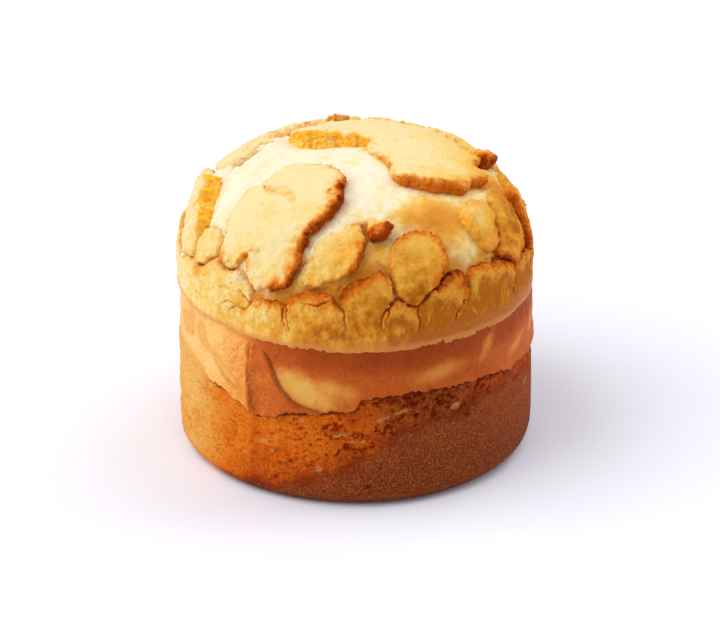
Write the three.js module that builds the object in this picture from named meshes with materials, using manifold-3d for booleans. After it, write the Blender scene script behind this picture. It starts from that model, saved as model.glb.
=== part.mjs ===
// A round pull-apart bread, baked in a straight-sided mould and risen over its rim.
// The dough has three parts: a porous band that touched the mould, a smoother skin that laps over that
// band in a wavy edge, and a crown that bulges out over both. A sweet crust broke into plates on the
// crown as it rose, so plates lie like flagstones: wide apart near the top, close together at the rim.
// Millimetres, +Z up, standing on z = 0. The front is -Y.

import * as THREE from "three";
import { mergeVertices } from "three/addons/utils/BufferGeometryUtils.js";
import Module from "manifold-3d";

const wasm = await Module();
wasm.setup();

// ---------------------------------------------------------------- driving dimensions

const BODY_RADIUS = 60.2; // the mould's inside radius
const BASE_ROUND = 6; // rounding where side meets base
const BAND_RECESS = 0.9; // how far the porous band lies behind the skin that laps over it
const RIM_HEIGHT = 57.4; // the underside of the crown's bulge
const RIM_OVERHANG = 1.2; // how far the bulge stands out over the skin below it
const CROWN_RADIUS = 60.4; // over the plates, at the crown's widest
const CROWN_EQUATOR = 61.5; // height of the widest ring
const CROWN_HEIGHT = 103.3; // over the plates, at the top
const CROWN_FLATNESS = 3.3; // 2 is an ellipse, more gives a flatter top
const CROWN_SHOULDER = 2.3; // 2 is an ellipse, more gives a squarer shoulder
const CRUST = 2.6; // thickness of a plate
const CRACK = 0.9; // width of a crack where two plates meet
const TAPER_FROM = 71; // the crust thins from here, measured over the crown from its top ...
const TAPER_TO = 84; // ... to nothing here
const ROUND_EDGE = 0.8; // rounding of a plate's upper edge
const ANCHOR = 7; // how far a plate's solid reaches down into the dough
const MELT = 1.6; // how softly the lobes of one plate run together
const WAVER = 0.9; // how far an outline strays from its arcs
const SWELL = 0.5; // slow unevenness of every surface

const SEAM_AT = -35; // the mould's lapped seam left a ridge here, in degrees round from the front
const SEAM_WIDTH = 1.5;
const SEAM_HEIGHT = 0.9;

const COLUMNS = 96; // vertices round the side
const CROWN_RINGS = 16; // rings over the crown, each with 6 more vertices than the last
const EDGE_STEP = 4; // spacing of vertices along a plate's outline
const FINEST = 0.15; // details of the joined surface smaller than this are merged

// Where the skin laps over the porous band: degrees round from the front, and height.
const LAP_EDGE = [
  [-180, 38], [-125, 41], [-80, 38], [-47, 35], [-33, 30.5], [-15, 34.5], [-1, 36],
  [3, 41], [22, 41.5], [43, 40.5], [62, 37.5], [92, 36], [135, 40], [180, 38],
];

// The plates of the front and the top, in the flat map of the crown: a point's distance from the centre
// is its distance over the crown from the top, and -y is the front. Each plate is a union of round
// lobes [x, y, radius]. lift is [direction in degrees, mm]: that side of the plate has curled up.
const PLATES = [
  { lobes: [[-19, -24, 13], [-15, -34, 11.5], [-22, -42, 12], [-29, -49, 11.5], [-33, -28, 17],
    [-41, -37, 11], [-47, -31, 8]], lift: [-35, 1.3] },
  { lobes: [[22, 3, 18], [27, -10, 13.5], [0, 22, 15], [-13, 14, 10], [9, 27, 14], [22, 18, 17],
    [36, 9, 7]], lift: [-110, 1.8] },
  { lobes: [[-7, -57, 6.5], [-14, -60.5, 4], [-1, -56, 6.5], [-1, -50, 3]], lift: [-40, 1] },
  { lobes: [[6, -46.5, 3.6], [4, -43.5, 2.4]], lift: [-20, 1.2] },
  { lobes: [[23.5, -55, 10.5], [22, -63, 8]], lift: [50, 1.2] },
  { lobes: [[42, 18, 4.5], [45.5, 10, 4], [46, 3, 2.6]], lift: [0, 2.4] },
  { lobes: [[51, -16, 7], [57, -22, 9], [58, -31, 7.5]], lift: [-30, 1.2] },
  { lobes: [[44.5, -29, 6.5], [41, -24, 3]], lift: [-90, 0.6] },
  { lobes: [[66, 6, 12], [77, 3, 10], [60, 0, 7]], lift: [-110, 1.6] },
  { lobes: [[-60, -4, 11], [-64, -16, 10]], lift: [0, 2.8] },
  { lobes: [[-62, -30, 6]], lift: [0, 0.6] },
  { lobes: [[-52, 14, 9.5], [-60, 20, 9]], lift: [-20, 1.2] },
  { lobes: [[-35, 22, 8], [-32, 30, 7]], lift: [-90, 1] },
  { lobes: [[-77, -24, 8.5], [-73, -34, 6]], lift: [60, 0.3] },
  { lobes: [[-50, -56, 7.5], [-60, -46, 10], [-68, -38, 8], [-64, -54, 9]], lift: [60, 0.4] },
  { lobes: [[-53, -63, 7], [-43, -68, 8], [-35, -70, 7.5], [-38, -76, 7]], lift: [50, 0.7] },
  { lobes: [[-22, -74, 8], [-13, -77, 8], [-20, -80, 7]], lift: [80, 0.6] },
  { lobes: [[3, -72, 8], [9, -68, 6], [4, -79, 8]], lift: [120, 0.9] },
  { lobes: [[20, -78, 9]], lift: [90, 0] },
  { lobes: [[40, -62, 7.5], [38, -57, 3.5], [35, -72, 9]], lift: [100, 0.7] },
  { lobes: [[53, -52, 8.5], [62, -42, 8], [51, -62, 8], [66, -48, 7]], lift: [130, 1] },
  { lobes: [[73, -32, 8.5], [79, -20, 9]], lift: [140, 0.4] },
];

// The plates behind follow a rule: rings of uneven plates, [distance from the top, first and last
// direction in degrees round from the front, plates in the ring, radius].
const BACK_RINGS = [
  [50, 118, 244, 5, 13.5],
  [77, 100, 263, 9, 10.5],
];
const UNEVEN = 0.16; // how much those plates vary

// ---------------------------------------------------------------- small helpers

const radians = THREE.MathUtils.degToRad;
const degrees = THREE.MathUtils.radToDeg;
const clamp = THREE.MathUtils.clamp;
const lerp = THREE.MathUtils.lerp;
const smooth = THREE.MathUtils.smoothstep;

// Slow waves through space, about `size` mm long, between -1 and 1.
function ripple(p, size, seed) {
  const k = (2 * Math.PI) / size;
  const a = Math.sin(k * (0.83 * p.x + 0.47 * p.y + 0.29 * p.z) + 1.7 * seed);
  const b = Math.sin(k * 1.31 * (-0.39 * p.x + 0.79 * p.y + 0.51 * p.z) + 2.9 * seed);
  const c = Math.sin(k * 0.77 * (0.31 * p.x - 0.53 * p.y + 0.81 * p.z) + 4.3 * seed);
  return (a + b + c) / 3;
}

// A repeatable number between -1 and 1 for item i of a list.
const uneven = (i, seed) => Math.sin(12.9898 * (i + 1) + 78.233 * seed);

// The height of the skin's lower edge at an angle round from the front.
function lapHeight(around) {
  const here = degrees(Math.atan2(Math.sin(around), Math.cos(around)));
  const next = Math.max(LAP_EDGE.findIndex(([at]) => at >= here), 1);
  const [from, low] = LAP_EDGE[next - 1];
  const [to, high] = LAP_EDGE[next];
  return lerp(low, high, smooth(here, from, to));
}

// ---------------------------------------------------------------- the crown's surface

// The crown's outline, |r / R|^flatness + |z / h|^shoulder = 1, walked from the top to the widest ring.
const OUTLINE = (() => {
  const STEPS = 1500;
  const rise = CROWN_HEIGHT - CROWN_EQUATOR;
  const rows = [{ walked: 0, r: 0, z: CROWN_HEIGHT }];
  for (let i = 1; i <= STEPS; i++) {
    const t = (i / STEPS) * (Math.PI / 2);
    const r = CROWN_RADIUS * Math.sin(t) ** (2 / CROWN_FLATNESS);
    const z = CROWN_EQUATOR + rise * Math.max(Math.cos(t), 0) ** (2 / CROWN_SHOULDER);
    const last = rows[i - 1];
    rows.push({ walked: last.walked + Math.hypot(r - last.r, z - last.z), r, z });
  }
  return rows;
})();
const CROWN_REACH = OUTLINE.at(-1).walked;

// The crown's section at a distance from the top: radius, height and the normal's two parts.
// Past the widest ring the map goes straight down.
function section(distance) {
  const walked = clamp(distance, 0, CROWN_REACH);
  let low = 0;
  let high = OUTLINE.length - 1;
  while (high - low > 1) {
    const middle = (low + high) >> 1;
    if (OUTLINE[middle].walked > walked) high = middle;
    else low = middle;
  }
  const a = OUTLINE[low];
  const b = OUTLINE[high];
  const t = (walked - a.walked) / (b.walked - a.walked);
  const length = Math.hypot(b.r - a.r, b.z - a.z);
  return {
    r: lerp(a.r, b.r, t),
    z: lerp(a.z, b.z, t) - (distance - walked),
    out: (a.z - b.z) / length,
    up: (b.r - a.r) / length,
  };
}

// A point of the crown from its place in the flat map, raised by `height` along the normal.
function onCrown(x, y, height) {
  const distance = Math.hypot(x, y);
  const at = section(distance);
  const ux = distance > 0 ? x / distance : 0;
  const uy = distance > 0 ? y / distance : -1;
  const base = new THREE.Vector3(ux * at.r, uy * at.r, at.z);
  const normal = new THREE.Vector3(ux * at.out, uy * at.out, at.up).normalize();
  return base.addScaledVector(normal, height + SWELL * ripple(base, 44, 1));
}

// How far the bare dough lies under the plates' tops.
const doughDepth = (x, y) => CRUST * (1 - smooth(Math.hypot(x, y), TAPER_FROM, TAPER_TO));

// ---------------------------------------------------------------- closed surfaces and solids

// Joins closed rings of points, from the bottom centre to the top centre, into one closed mesh. Rings
// may have different numbers of points; all start in the same direction and run the same way round.
function closedFromRings(bottom, rings, top) {
  const points = [bottom, ...rings.flat(), top];
  const faces = [];
  const start = [];
  let next = 1;
  for (const ring of rings) {
    start.push(next);
    next += ring.length;
  }
  const vertex = (k, i) => start[k] + (i % rings[k].length);
  const fan = (k, centre, upward) =>
    rings[k].forEach((_, i) => {
      const edge = upward ? [vertex(k, i), vertex(k, i + 1)] : [vertex(k, i + 1), vertex(k, i)];
      faces.push(centre, ...edge);
    });
  fan(0, 0, false);
  for (let k = 0; k + 1 < rings.length; k++) {
    const low = rings[k].length;
    const high = rings[k + 1].length;
    let i = 0;
    let j = 0;
    while (i < low || j < high) {
      const onLow = j >= high || (i < low && (i + 0.5) / low <= (j + 0.5) / high);
      const apex = onLow ? vertex(k, i + 1) : vertex(k + 1, j + 1);
      faces.push(vertex(k, i), apex, vertex(k + 1, j));
      if (onLow) i++;
      else j++;
    }
  }
  fan(rings.length - 1, points.length - 1, true);
  const geometry = new THREE.BufferGeometry();
  geometry.setAttribute("position", new THREE.Float32BufferAttribute(points.flatMap((p) => p.toArray()), 3));
  geometry.setIndex(faces);
  return geometry;
}

function solidFrom(geometry) {
  const bare = mergeVertices(geometry, 1e-4);
  const mesh = new wasm.Mesh({
    numProp: 3,
    vertProperties: new Float32Array(bare.attributes.position.array),
    triVerts: new Uint32Array(bare.index.array),
  });
  return new wasm.Manifold(mesh);
}

function geometryFrom(solid) {
  const mesh = solid.getMesh();
  const geometry = new THREE.BufferGeometry();
  geometry.setAttribute("position", new THREE.BufferAttribute(mesh.vertProperties, 3));
  geometry.setIndex(new THREE.BufferAttribute(mesh.triVerts, 1));
  geometry.computeVertexNormals();
  return geometry;
}

// ---------------------------------------------------------------- the dough

// Directions of the columns round the side, drawn together at the seam so that its ridge is round.
function columnTurns(count) {
  const seam = radians(SEAM_AT);
  const reach = radians(9);
  return Array.from({ length: count }, (_, i) => {
    const turn = (2 * Math.PI * i) / count;
    const off = Math.atan2(Math.sin(turn - seam), Math.cos(turn - seam));
    return turn - 0.6 * off * Math.exp(-((off / reach) ** 2));
  });
}

// The side's radius: the mould's, a little uneven, with the ridge that its seam left.
function sideRadius(around, z, offset) {
  const p = new THREE.Vector3(BODY_RADIUS * Math.sin(around), -BODY_RADIUS * Math.cos(around), z);
  const aside = BODY_RADIUS * (around - (2 * Math.PI + radians(SEAM_AT)));
  const along = smooth(z, BASE_ROUND, 2 * BASE_ROUND) * (1 - smooth(z, RIM_HEIGHT - 4, RIM_HEIGHT));
  const ridge = SEAM_HEIGHT * Math.exp(-((aside / SEAM_WIDTH) ** 2)) * along;
  return BODY_RADIUS + offset + ridge + 0.6 * SWELL * ripple(p, 38, 2) * smooth(z, 0, BASE_ROUND);
}

// One ring of the side: its distance outside the mould's radius, and its height round the side.
function sideRing(offset, height, count = COLUMNS) {
  return columnTurns(count).map((around) => {
    const z = height(around);
    const r = sideRadius(around, z, offset);
    return new THREE.Vector3(r * Math.sin(around), -r * Math.cos(around), z);
  });
}

function baseRings() {
  const foot = BODY_RADIUS - BASE_ROUND;
  const inner = sideRing(-BODY_RADIUS / 2, () => 0, COLUMNS / 3);
  const rounded = [0, 25, 55, 90].map((turn) => {
    const r = foot + BASE_ROUND * Math.sin(radians(turn));
    return sideRing(r - BODY_RADIUS, () => BASE_ROUND * (1 - Math.cos(radians(turn))));
  });
  return [inner, ...rounded];
}

function bandRings() {
  return [0.25, 0.5, 0.75, 1].map((share) => {
    const recess = -BAND_RECESS * share ** 3;
    return sideRing(recess, (around) => lerp(BASE_ROUND, lapHeight(around) - 0.2, share));
  });
}

// The skin, from its lapping edge up to the rim: share of the way up, and distance outside the mould's
// radius.
function skinRings() {
  const tucked = CROWN_RADIUS - BODY_RADIUS - RIM_OVERHANG;
  const rows = [[0, -0.1], [0.04, 0.35], [0.3, 0.1], [0.62, -0.25], [1, tucked]];
  return rows.map(([share, offset]) =>
    sideRing(offset, (around) => lerp(lapHeight(around) + 0.3, RIM_HEIGHT - 0.2, share)),
  );
}

// The crown's dough, from under its rim to near the top.
function crownRings() {
  const over = CROWN_RADIUS - BODY_RADIUS;
  const rings = [sideRing(over - 0.35, () => RIM_HEIGHT + 0.5), sideRing(over, () => CROWN_EQUATOR - 1.2)];
  for (let k = CROWN_RINGS; k >= 1; k--) {
    const distance = (CROWN_REACH * k) / CROWN_RINGS;
    const ring = Array.from({ length: 6 * k }, (_, i) => {
      const turn = (2 * Math.PI * i) / (6 * k);
      const x = distance * Math.sin(turn);
      const y = -distance * Math.cos(turn);
      return onCrown(x, y, -doughDepth(x, y));
    });
    rings.push(ring);
  }
  return rings;
}

function dough() {
  const rings = [...baseRings(), ...bandRings(), ...skinRings(), ...crownRings()];
  return solidFrom(closedFromRings(new THREE.Vector3(0, 0, 0), rings, onCrown(0, 0, -CRUST)));
}

// ---------------------------------------------------------------- the crust's plates

function backPlates() {
  return BACK_RINGS.flatMap(([distance, first, last, count, radius], ring) =>
    Array.from({ length: count }, (_, i) => {
      const turn = radians(lerp(first, last, i / (count - 1)) + 36 * UNEVEN * uneven(i, ring));
      const away = distance * (1 + 0.3 * UNEVEN * uneven(i, ring + 3));
      const r = radius * (1 + UNEVEN * uneven(i, ring + 5));
      const aside = 0.4 * r;
      const lobe = (side, share) => [
        away * Math.sin(turn) + side * aside * Math.cos(turn),
        -away * Math.cos(turn) + side * aside * Math.sin(turn),
        share * r,
      ];
      const inward = degrees(Math.atan2(Math.cos(turn), -Math.sin(turn)));
      return { lobes: [lobe(-1, 0.9), lobe(1, 1)], lift: [inward, 0.8] };
    }),
  );
}

const plates = [...PLATES, ...backPlates()];

// How far a point of the map lies outside a plate's lobes, which run together softly; negative inside.
function outside(plate, x, y) {
  const gaps = plate.lobes.map(([cx, cy, r]) => Math.hypot(x - cx, y - cy) - r);
  const least = Math.min(...gaps);
  const soft = least - MELT * Math.log(gaps.reduce((sum, gap) => sum + Math.exp((least - gap) / MELT), 0));
  const seed = plates.indexOf(plate);
  const p = new THREE.Vector3(x, y, 0);
  return soft + WAVER * ripple(p, 13, 3 + seed) + 0.5 * WAVER * ripple(p, 6, 4 + seed);
}

// A plate holds the points inside its lobes that no other plate comes nearer to, less half a crack.
function holds(plate, neighbours, x, y) {
  const here = outside(plate, x, y);
  if (here > 0 || Math.hypot(x, y) > TAPER_TO) return false;
  return neighbours.every((other) => here < outside(other, x, y) - CRACK);
}

function centreOf({ lobes }) {
  const weight = lobes.reduce((sum, [, , r]) => sum + r * r, 0);
  const x = lobes.reduce((sum, [cx, , r]) => sum + cx * r * r, 0) / weight;
  const y = lobes.reduce((sum, [, cy, r]) => sum + cy * r * r, 0) / weight;
  return { x, y, reach: Math.max(...lobes.map(([cx, cy, r]) => Math.hypot(cx - x, cy - y) + r + WAVER)) };
}

// A plate's outline, as directions and distances from its centre, found by walking out from there.
function outlineOf(plate, centre) {
  const near = (other) => {
    const at = centreOf(other);
    return Math.hypot(at.x - centre.x, at.y - centre.y) < centre.reach + at.reach;
  };
  const neighbours = plates.filter((other) => other !== plate && near(other));
  const count = Math.max(Math.round((1.7 * Math.PI * centre.reach) / EDGE_STEP), 9);
  return Array.from({ length: count }, (_, i) => {
    const turn = (2 * Math.PI * i) / count;
    const held = (far) =>
      holds(plate, neighbours, centre.x + far * Math.cos(turn), centre.y + far * Math.sin(turn));
    let inside = 0.5;
    while (inside < centre.reach + 2 && held(inside + 0.5)) inside += 0.5;
    let beyond = inside + 0.5;
    for (let halving = 0; halving < 8; halving++) {
      const middle = (inside + beyond) / 2;
      if (held(middle)) inside = middle;
      else beyond = middle;
    }
    return { turn, far: inside };
  });
}

// One plate: its wall rises from deep in the dough, and its top has a rounded edge.
function plateSolid(plate) {
  const centre = centreOf(plate);
  const outline = outlineOf(plate, centre);
  const longest = Math.max(...outline.map(({ far }) => far));
  const [towards, mm] = plate.lift;
  const ux = Math.cos(radians(towards));
  const uy = Math.sin(radians(towards));
  const raised = (x, y) => mm * smooth(((x - centre.x) * ux + (y - centre.y) * uy) / longest, 0, 1);
  const buried = (x, y) => -doughDepth(x, y) - 2;
  const shoulder = (x, y) => raised(x, y) - Math.min(ROUND_EDGE, 0.4 * doughDepth(x, y) + 0.05);
  const ring = (inset, share, height) =>
    outline.map(({ turn, far }) => {
      const reached = Math.max(far - inset, 0.3) * share;
      const x = centre.x + reached * Math.cos(turn);
      const y = centre.y + reached * Math.sin(turn);
      return onCrown(x, y, height(x, y));
    });
  const rings = [
    ring(0.5, 1, buried),
    ring(0, 1, shoulder),
    ring(ROUND_EDGE, 1, raised),
    ring(ROUND_EDGE, 0.55, raised),
  ];
  const { x, y } = centre;
  return solidFrom(closedFromRings(onCrown(x, y, -ANCHOR), rings, onCrown(x, y, raised(x, y))));
}

// ---------------------------------------------------------------- the bread

const bread = plates.reduce((whole, plate) => whole.add(plateSolid(plate)), dough()).simplify(FINEST);

const crustColour = new THREE.MeshStandardMaterial({ color: 0xe0a050, roughness: 0.7, metalness: 0 });
const loaf = new THREE.Mesh(geometryFrom(bread), crustColour);
loaf.name = "bread";

const part = new THREE.Group();
part.add(loaf);
export default part;
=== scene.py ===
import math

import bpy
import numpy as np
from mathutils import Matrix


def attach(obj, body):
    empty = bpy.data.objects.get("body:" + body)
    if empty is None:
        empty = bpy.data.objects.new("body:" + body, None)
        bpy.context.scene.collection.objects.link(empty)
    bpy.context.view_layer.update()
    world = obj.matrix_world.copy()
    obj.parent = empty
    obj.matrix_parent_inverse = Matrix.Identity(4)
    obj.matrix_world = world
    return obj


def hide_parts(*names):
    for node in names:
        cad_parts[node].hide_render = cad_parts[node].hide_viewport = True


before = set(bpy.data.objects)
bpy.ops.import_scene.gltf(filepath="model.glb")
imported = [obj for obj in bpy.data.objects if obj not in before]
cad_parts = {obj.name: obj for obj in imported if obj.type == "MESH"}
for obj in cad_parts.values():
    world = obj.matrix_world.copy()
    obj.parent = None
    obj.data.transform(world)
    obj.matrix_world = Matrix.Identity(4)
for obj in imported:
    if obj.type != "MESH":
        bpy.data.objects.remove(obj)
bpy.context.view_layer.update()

# A round bread baked in a straight mould: a porous band that touched the mould, a smoother skin lapped
# over it, and a crown of milk dough under a sugar-cookie crust that broke into plates as it rose.
# Lengths here are millimetres until a mesh is made. The front is -Y.

MM = 0.001

# ---------------------------------------------------------------- sizes, as in the part's source

BODY_RADIUS = 60.2  # the mould's inside radius
HALF_ROUND = math.pi * BODY_RADIUS  # half the way round the side
BASE_ROUND = 6.0  # rounding where side meets base
BAND_RECESS = 0.9  # how far the porous band lies behind the skin that laps over it
RIM_HEIGHT = 57.4  # the underside of the crown's bulge
RIM_OVERHANG = 1.2  # how far the bulge stands out over the skin below it
CROWN_RADIUS = 60.4  # over the plates, at the crown's widest
CROWN_EQUATOR = 61.5  # height of the widest ring
CROWN_HEIGHT = 103.3  # over the plates, at the top
CROWN_FLATNESS = 3.3  # 2 is an ellipse, more gives a flatter top
CROWN_SHOULDER = 2.3  # 2 is an ellipse, more gives a squarer shoulder
CRUST = 2.6  # thickness of a plate
CRACK = 0.9  # width of a crack where two plates meet
TAPER_FROM = 71.0  # the crust thins from here, measured over the crown from its top ...
TAPER_TO = 84.0  # ... to nothing here
MELT = 1.6  # how softly the lobes of one plate run together
WAVER = 0.9  # how far an outline strays from its arcs
SWELL = 0.5  # slow unevenness of every surface
SEAM_AT = -35.0  # where the mould's lapped seam left a ridge, in degrees round from the front
SEAM_WIDTH = 1.5
SEAM_HEIGHT = 0.9

# Where the skin laps over the porous band: degrees round from the front, and height.
LAP_EDGE = (
    (-180, 38), (-125, 41), (-80, 38), (-47, 35), (-33, 30.5), (-15, 34.5), (-1, 36),
    (3, 41), (22, 41.5), (43, 40.5), (62, 37.5), (92, 36), (135, 40), (180, 38),
)

# ---------------------------------------------------------------- sizes of the fine surface

PLATE_STEP = 0.42  # spacing of vertices over a plate
DOUGH_RINGS = 152  # rings over the crown's dough
SIDE_COLUMNS = 800  # vertices round the side
SIDE_STEP = 0.46  # spacing of rows up the side
EDGE_ROUND = 0.8  # rounding of a plate's upper edge where it lies flat
CURL_ROUND = 1.1  # what is added to that where it has curled up
PLATE_END = 88.6  # where the last of the crust ends, over the crown from its top
BURIED = 1.4  # how far a plate's wall reaches below the dough
DOUGH_NEAR = 1.5  # how deep the dough lies beside a flat edge of the crust
PUFF = 1.0  # how far it swells up again away from the plates
LIP_ROUND = 1.3  # rounding of the crown's lower edge
LAP_ROUND = 0.8  # rounding of the skin's lower edge
LARGE_PLATE = 17.0  # reach from which a plate has its full relief
PLATE_CORE = -8.0  # a plate's wall closes at a hidden point this high over, so 8 mm under, the crown
BAND_CORE = 34.0  # height of the hidden point inside the bread at which the band closes
BASE_HOLLOW = 0.05  # how far the base's middle stands off the floor, and how uneven it is
BASE_TURNS = 18  # rings round the base's edge
BASE_RINGS = 12  # rings over the base

ROW_SPACING = 0.866  # spacing of the rows in a grid of triangles with sides of 1
NEAR_EDGE = 0.45  # how near its outline a plate's points are kept, in steps of the grid
PATCH_MARGIN = 2  # how far the grid reaches past a plate
NEIGHBOUR_GAP = 2  # plates whose reaches come this near to each other are neighbours
PROBE = 0.06  # how far to each side the slope at a plate's outline is measured
CROWN_PROBE = 0.4  # how far to each side the crown's slope is measured
OUTLINE_STEPS = 1501  # points of the crown's outline
SWELL_LENGTH = 44  # length of the slow waves in the crown
OUT_OF_REACH = 99.0  # a distance further than any that matters
CLEAR_UNTIL = 130  # distance round to the right at which what is kept from the left starts to fade
BLEND = 30  # over how much of the side, up to the back, noise runs into its other end
SKIN_BACK = 57.0  # radius of the skin's hidden inner face
PIT_HEIGHTS = (2.5, 53)  # the lowest and the highest pit
EDGE_KEY = 4000000  # more than the points of any patch, so that an edge's two points make one number


class Plate:
    """One plate of the crust, in the flat map of the crown: a point's distance from the centre is its
    distance over the crown from the top, and -y is the front. lobes are (x, y, radius); lift is
    (direction in degrees, mm) of the side that has curled up; browned is how dark that side is. spots
    are places of its own: (x, y, radius, mm curled up, how browned, how far the face under it tore)."""

    def __init__(self, name, lobes, lift, browned=0.3, spots=()):
        self.name = name
        self.lobes = lobes
        self.towards = np.array([math.cos(math.radians(lift[0])), math.sin(math.radians(lift[0]))])
        self.lift = lift[1]
        self.browned = browned
        self.spots = spots
        area = np.array([lobe[2] ** 2 for lobe in lobes])
        places = np.array([lobe[:2] for lobe in lobes])
        self.centre = (places * area[:, None]).sum(0) / area.sum()
        away = np.hypot(*(places - self.centre).T)
        self.reach = float((away + np.array([lobe[2] for lobe in lobes])).max()) + WAVER


# The part's source has these plates too, apart from the shard, many of them a little elsewhere.
PLATES = [
    Plate("broad", [(-17, -21, 12.5), (-15, -32, 10.5), (-20, -39, 10), (-25, -46, 8), (-28.5, -55, 7.5),
                    (-36.5, -54.5, 6.5), (-29, -30, 12.5), (-37, -34, 9), (-39, -39, 8), (-47, -40.5, 6.5)],
          (-25, 1.7), 1.0,
          ((-4, -33, 8, 0.9, 1.25, 0), (-27, -64, 8, 1.1, 1.1, 0), (-54, -42, 6, 0.6, 0.6, 0),
           (-10, -12, 7, 0.3, 0.6, 0), (-42, -49, 4, 0.2, 0.5, 0), (-14, -47, 7, 0.3, 1.1, 0))),
    Plate("top", [(22, 3, 17.5), (27, -10, 13), (0, 23.5, 14.5), (-13, 18, 9.5), (9, 27, 14), (21, 18, 15.5),
                  (35, 6, 7), (17.5, -15, 6.5), (38, -8, 6.5)], (-75, 0.3), 0.2,
          ((-15, 10, 10, 3.0, 0.25, 1.0), (-1, 8, 7, 1.6, 0.2, 0.9), (20, -24, 9, 1.7, 0.74, 0),
           (32, -23, 9, 1.7, 0.78, 0), (43, -12, 7, 1.2, 0.85, 0), (43, 6, 5, 1.2, 0.8, 0),
           (6, -9, 7, 0.6, 0.55, 0.2))),
    Plate("middle", [(-9, -57.5, 6.5), (-16, -61, 4), (-3.5, -57, 5.5), (-5.5, -52, 3.5), (-1.8, -51, 3.2),
                     (1.2, -47.6, 3)], (-30, 1.1), 0.9,
          ((1, -56, 5, 0.5, 1.05, 0), (1.5, -46, 4, 1.2, 0.35, 0))),
    Plate("nub", [(4.8, -44.8, 3.2), (7.8, -46.6, 3.4)], (-30, 2.0), 0.9, ((8.5, -48, 4, 0.6, 1.3, 0),)),
    Plate("round", [(23.5, -55, 10.5), (22, -63, 8)], (70, 1.0), 0.9, ((32, -57, 6, 0.9, 0.9, 0),)),
    Plate("flake", [(36.5, 22, 5), (40.5, 17.5, 5), (43.5, 11.5, 4.2)], (-20, 3.0), 1.1),
    Plate("right", [(52, -14.5, 6), (57, -20, 7.5), (60.5, -28, 7.5), (56.5, -34, 5)], (0, 1.5), 1.15,
          ((60, -38, 6, 0.5, 1.0, 0),)),
    Plate("right_chip", [(43.5, -29.5, 7), (48, -33, 6.5), (46, -25, 5)], (-170, 0.8), 0.1,
          ((39, -32, 5, 0.9, 0.15, 0.5), (44.5, -39, 4, 0.6, 0.4, 0.4), (52, -36, 4, 0.4, 0.7, 0))),
    Plate("right_edge", [(60, 8, 8), (66, 3, 9), (76, 0, 10), (72, -8, 8), (62.5, -3.5, 6)],
          (-120, 1.6), 1.0),
    Plate("left_edge", [(-60, -4, 11), (-64, -16, 10)], (0, 2.6), 0.5,
          ((-51, -4, 9, 1.6, 0.4, 0.8), (-56, -16, 8, 1.2, 0.3, 0.9), (-50, 4, 4, 0.6, 0.9, 0.2))),
    Plate("left_chip", [(-60, -30, 7.5), (-54.5, -34, 6)], (30, 0.0), 0.15, ((-54, -31, 4, 0.3, 0.15, 0.3),)),
    Plate("left_back", [(-50, 11, 9), (-57, 16, 10), (-47, 4, 6)], (120, 0.7), 0.05,
          ((-53, 21, 5, 1.4, 0.3, 0.3), (-42, 10, 5, 0.2, 0.1, 0.4))),
    Plate("back_chip", [(-38, 19, 8), (-33, 27, 8)], (100, 1.0), 0.05, ((-37, 11, 4, 0.3, 0.1, 0.6),)),
    Plate("rim_a", [(-77, -24, 8.5), (-73, -34, 6)], (60, 0.3), 0.2),
    Plate("rim_b", [(-50, -56, 7), (-60, -46, 10), (-68, -38, 8), (-64, -54, 9)], (60, 0.8), 0.5),
    Plate("rim_c", [(-54, -64, 6.5), (-44, -70, 7.5), (-35, -73, 7), (-38, -77, 7)],
          (50, 1.2), 0.95),
    Plate("rim_d", [(-22, -74, 8), (-13, -77, 8), (-20, -80, 7)], (80, 1.1), 0.9),
    Plate("rim_e", [(3, -72, 8), (9, -68, 6), (4, -79, 8)], (120, 1.5), 1.1),
    Plate("rim_f", [(20, -78, 9)], (90, 0.4), 0.6),
    Plate("rim_g", [(40, -62, 7.5), (38, -57, 3.5), (35, -72, 9)], (100, 1.5), 1.1),
    Plate("rim_h", [(53, -52, 8.5), (62, -42, 8), (51, -62, 8), (66, -48, 7)], (130, 1.6), 1.15),
    Plate("rim_i", [(73, -32, 8.5), (79, -20, 9)], (140, 0.8), 0.7),
    Plate("shard", [(-11.5, 37, 4), (-7.5, 38, 4.5), (-3.5, 38.5, 4)], (-70, 3.8), 1.0),
]

# The plates behind follow a rule: (distance from the top, first and last direction in degrees round
# from the front, plates in the ring, radius).
BACK_RINGS = ((50, 126, 244, 5, 13.5), (77, 100, 263, 9, 10.5))
UNEVEN = 0.16  # how much those plates vary


def uneven(i, seed):
    """A repeatable number between -1 and 1 for item i of a list."""
    return math.sin(12.9898 * (i + 1) + 78.233 * seed)


def back_plates():
    """The plates of the rings behind, each of two lobes side by side."""
    made = []
    for ring, (distance, first, last, count, radius) in enumerate(BACK_RINGS):
        for i in range(count):
            degrees = first + (last - first) * i / (count - 1) + 36 * UNEVEN * uneven(i, ring)
            turn = math.radians(degrees)
            away = distance * (1 + 0.3 * UNEVEN * uneven(i, ring + 3))
            r = radius * (1 + UNEVEN * uneven(i, ring + 5))
            lobes = []
            for side, share in ((-1, 0.9), (1, 1)):
                aside = side * 0.4 * r
                x = away * math.sin(turn) + aside * math.cos(turn)
                y = -away * math.cos(turn) + aside * math.sin(turn)
                lobes.append((x, y, share * r))
            inward = math.degrees(math.atan2(math.cos(turn), -math.sin(turn)))
            browned = 0.05 + 0.3 * ring + 0.25 * uneven(i, ring + 9)
            made.append(Plate(f"back_{ring}_{i}", lobes, (inward, 0.8), browned))
    return made


PLATES += back_plates()

# ---------------------------------------------------------------- waves, noise and steps


def smooth(x, low, high):
    """A soft step from 0 at low to 1 at high."""
    t = np.clip((x - low) / (high - low), 0, 1)
    return t * t * (3 - 2 * t)


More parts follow.
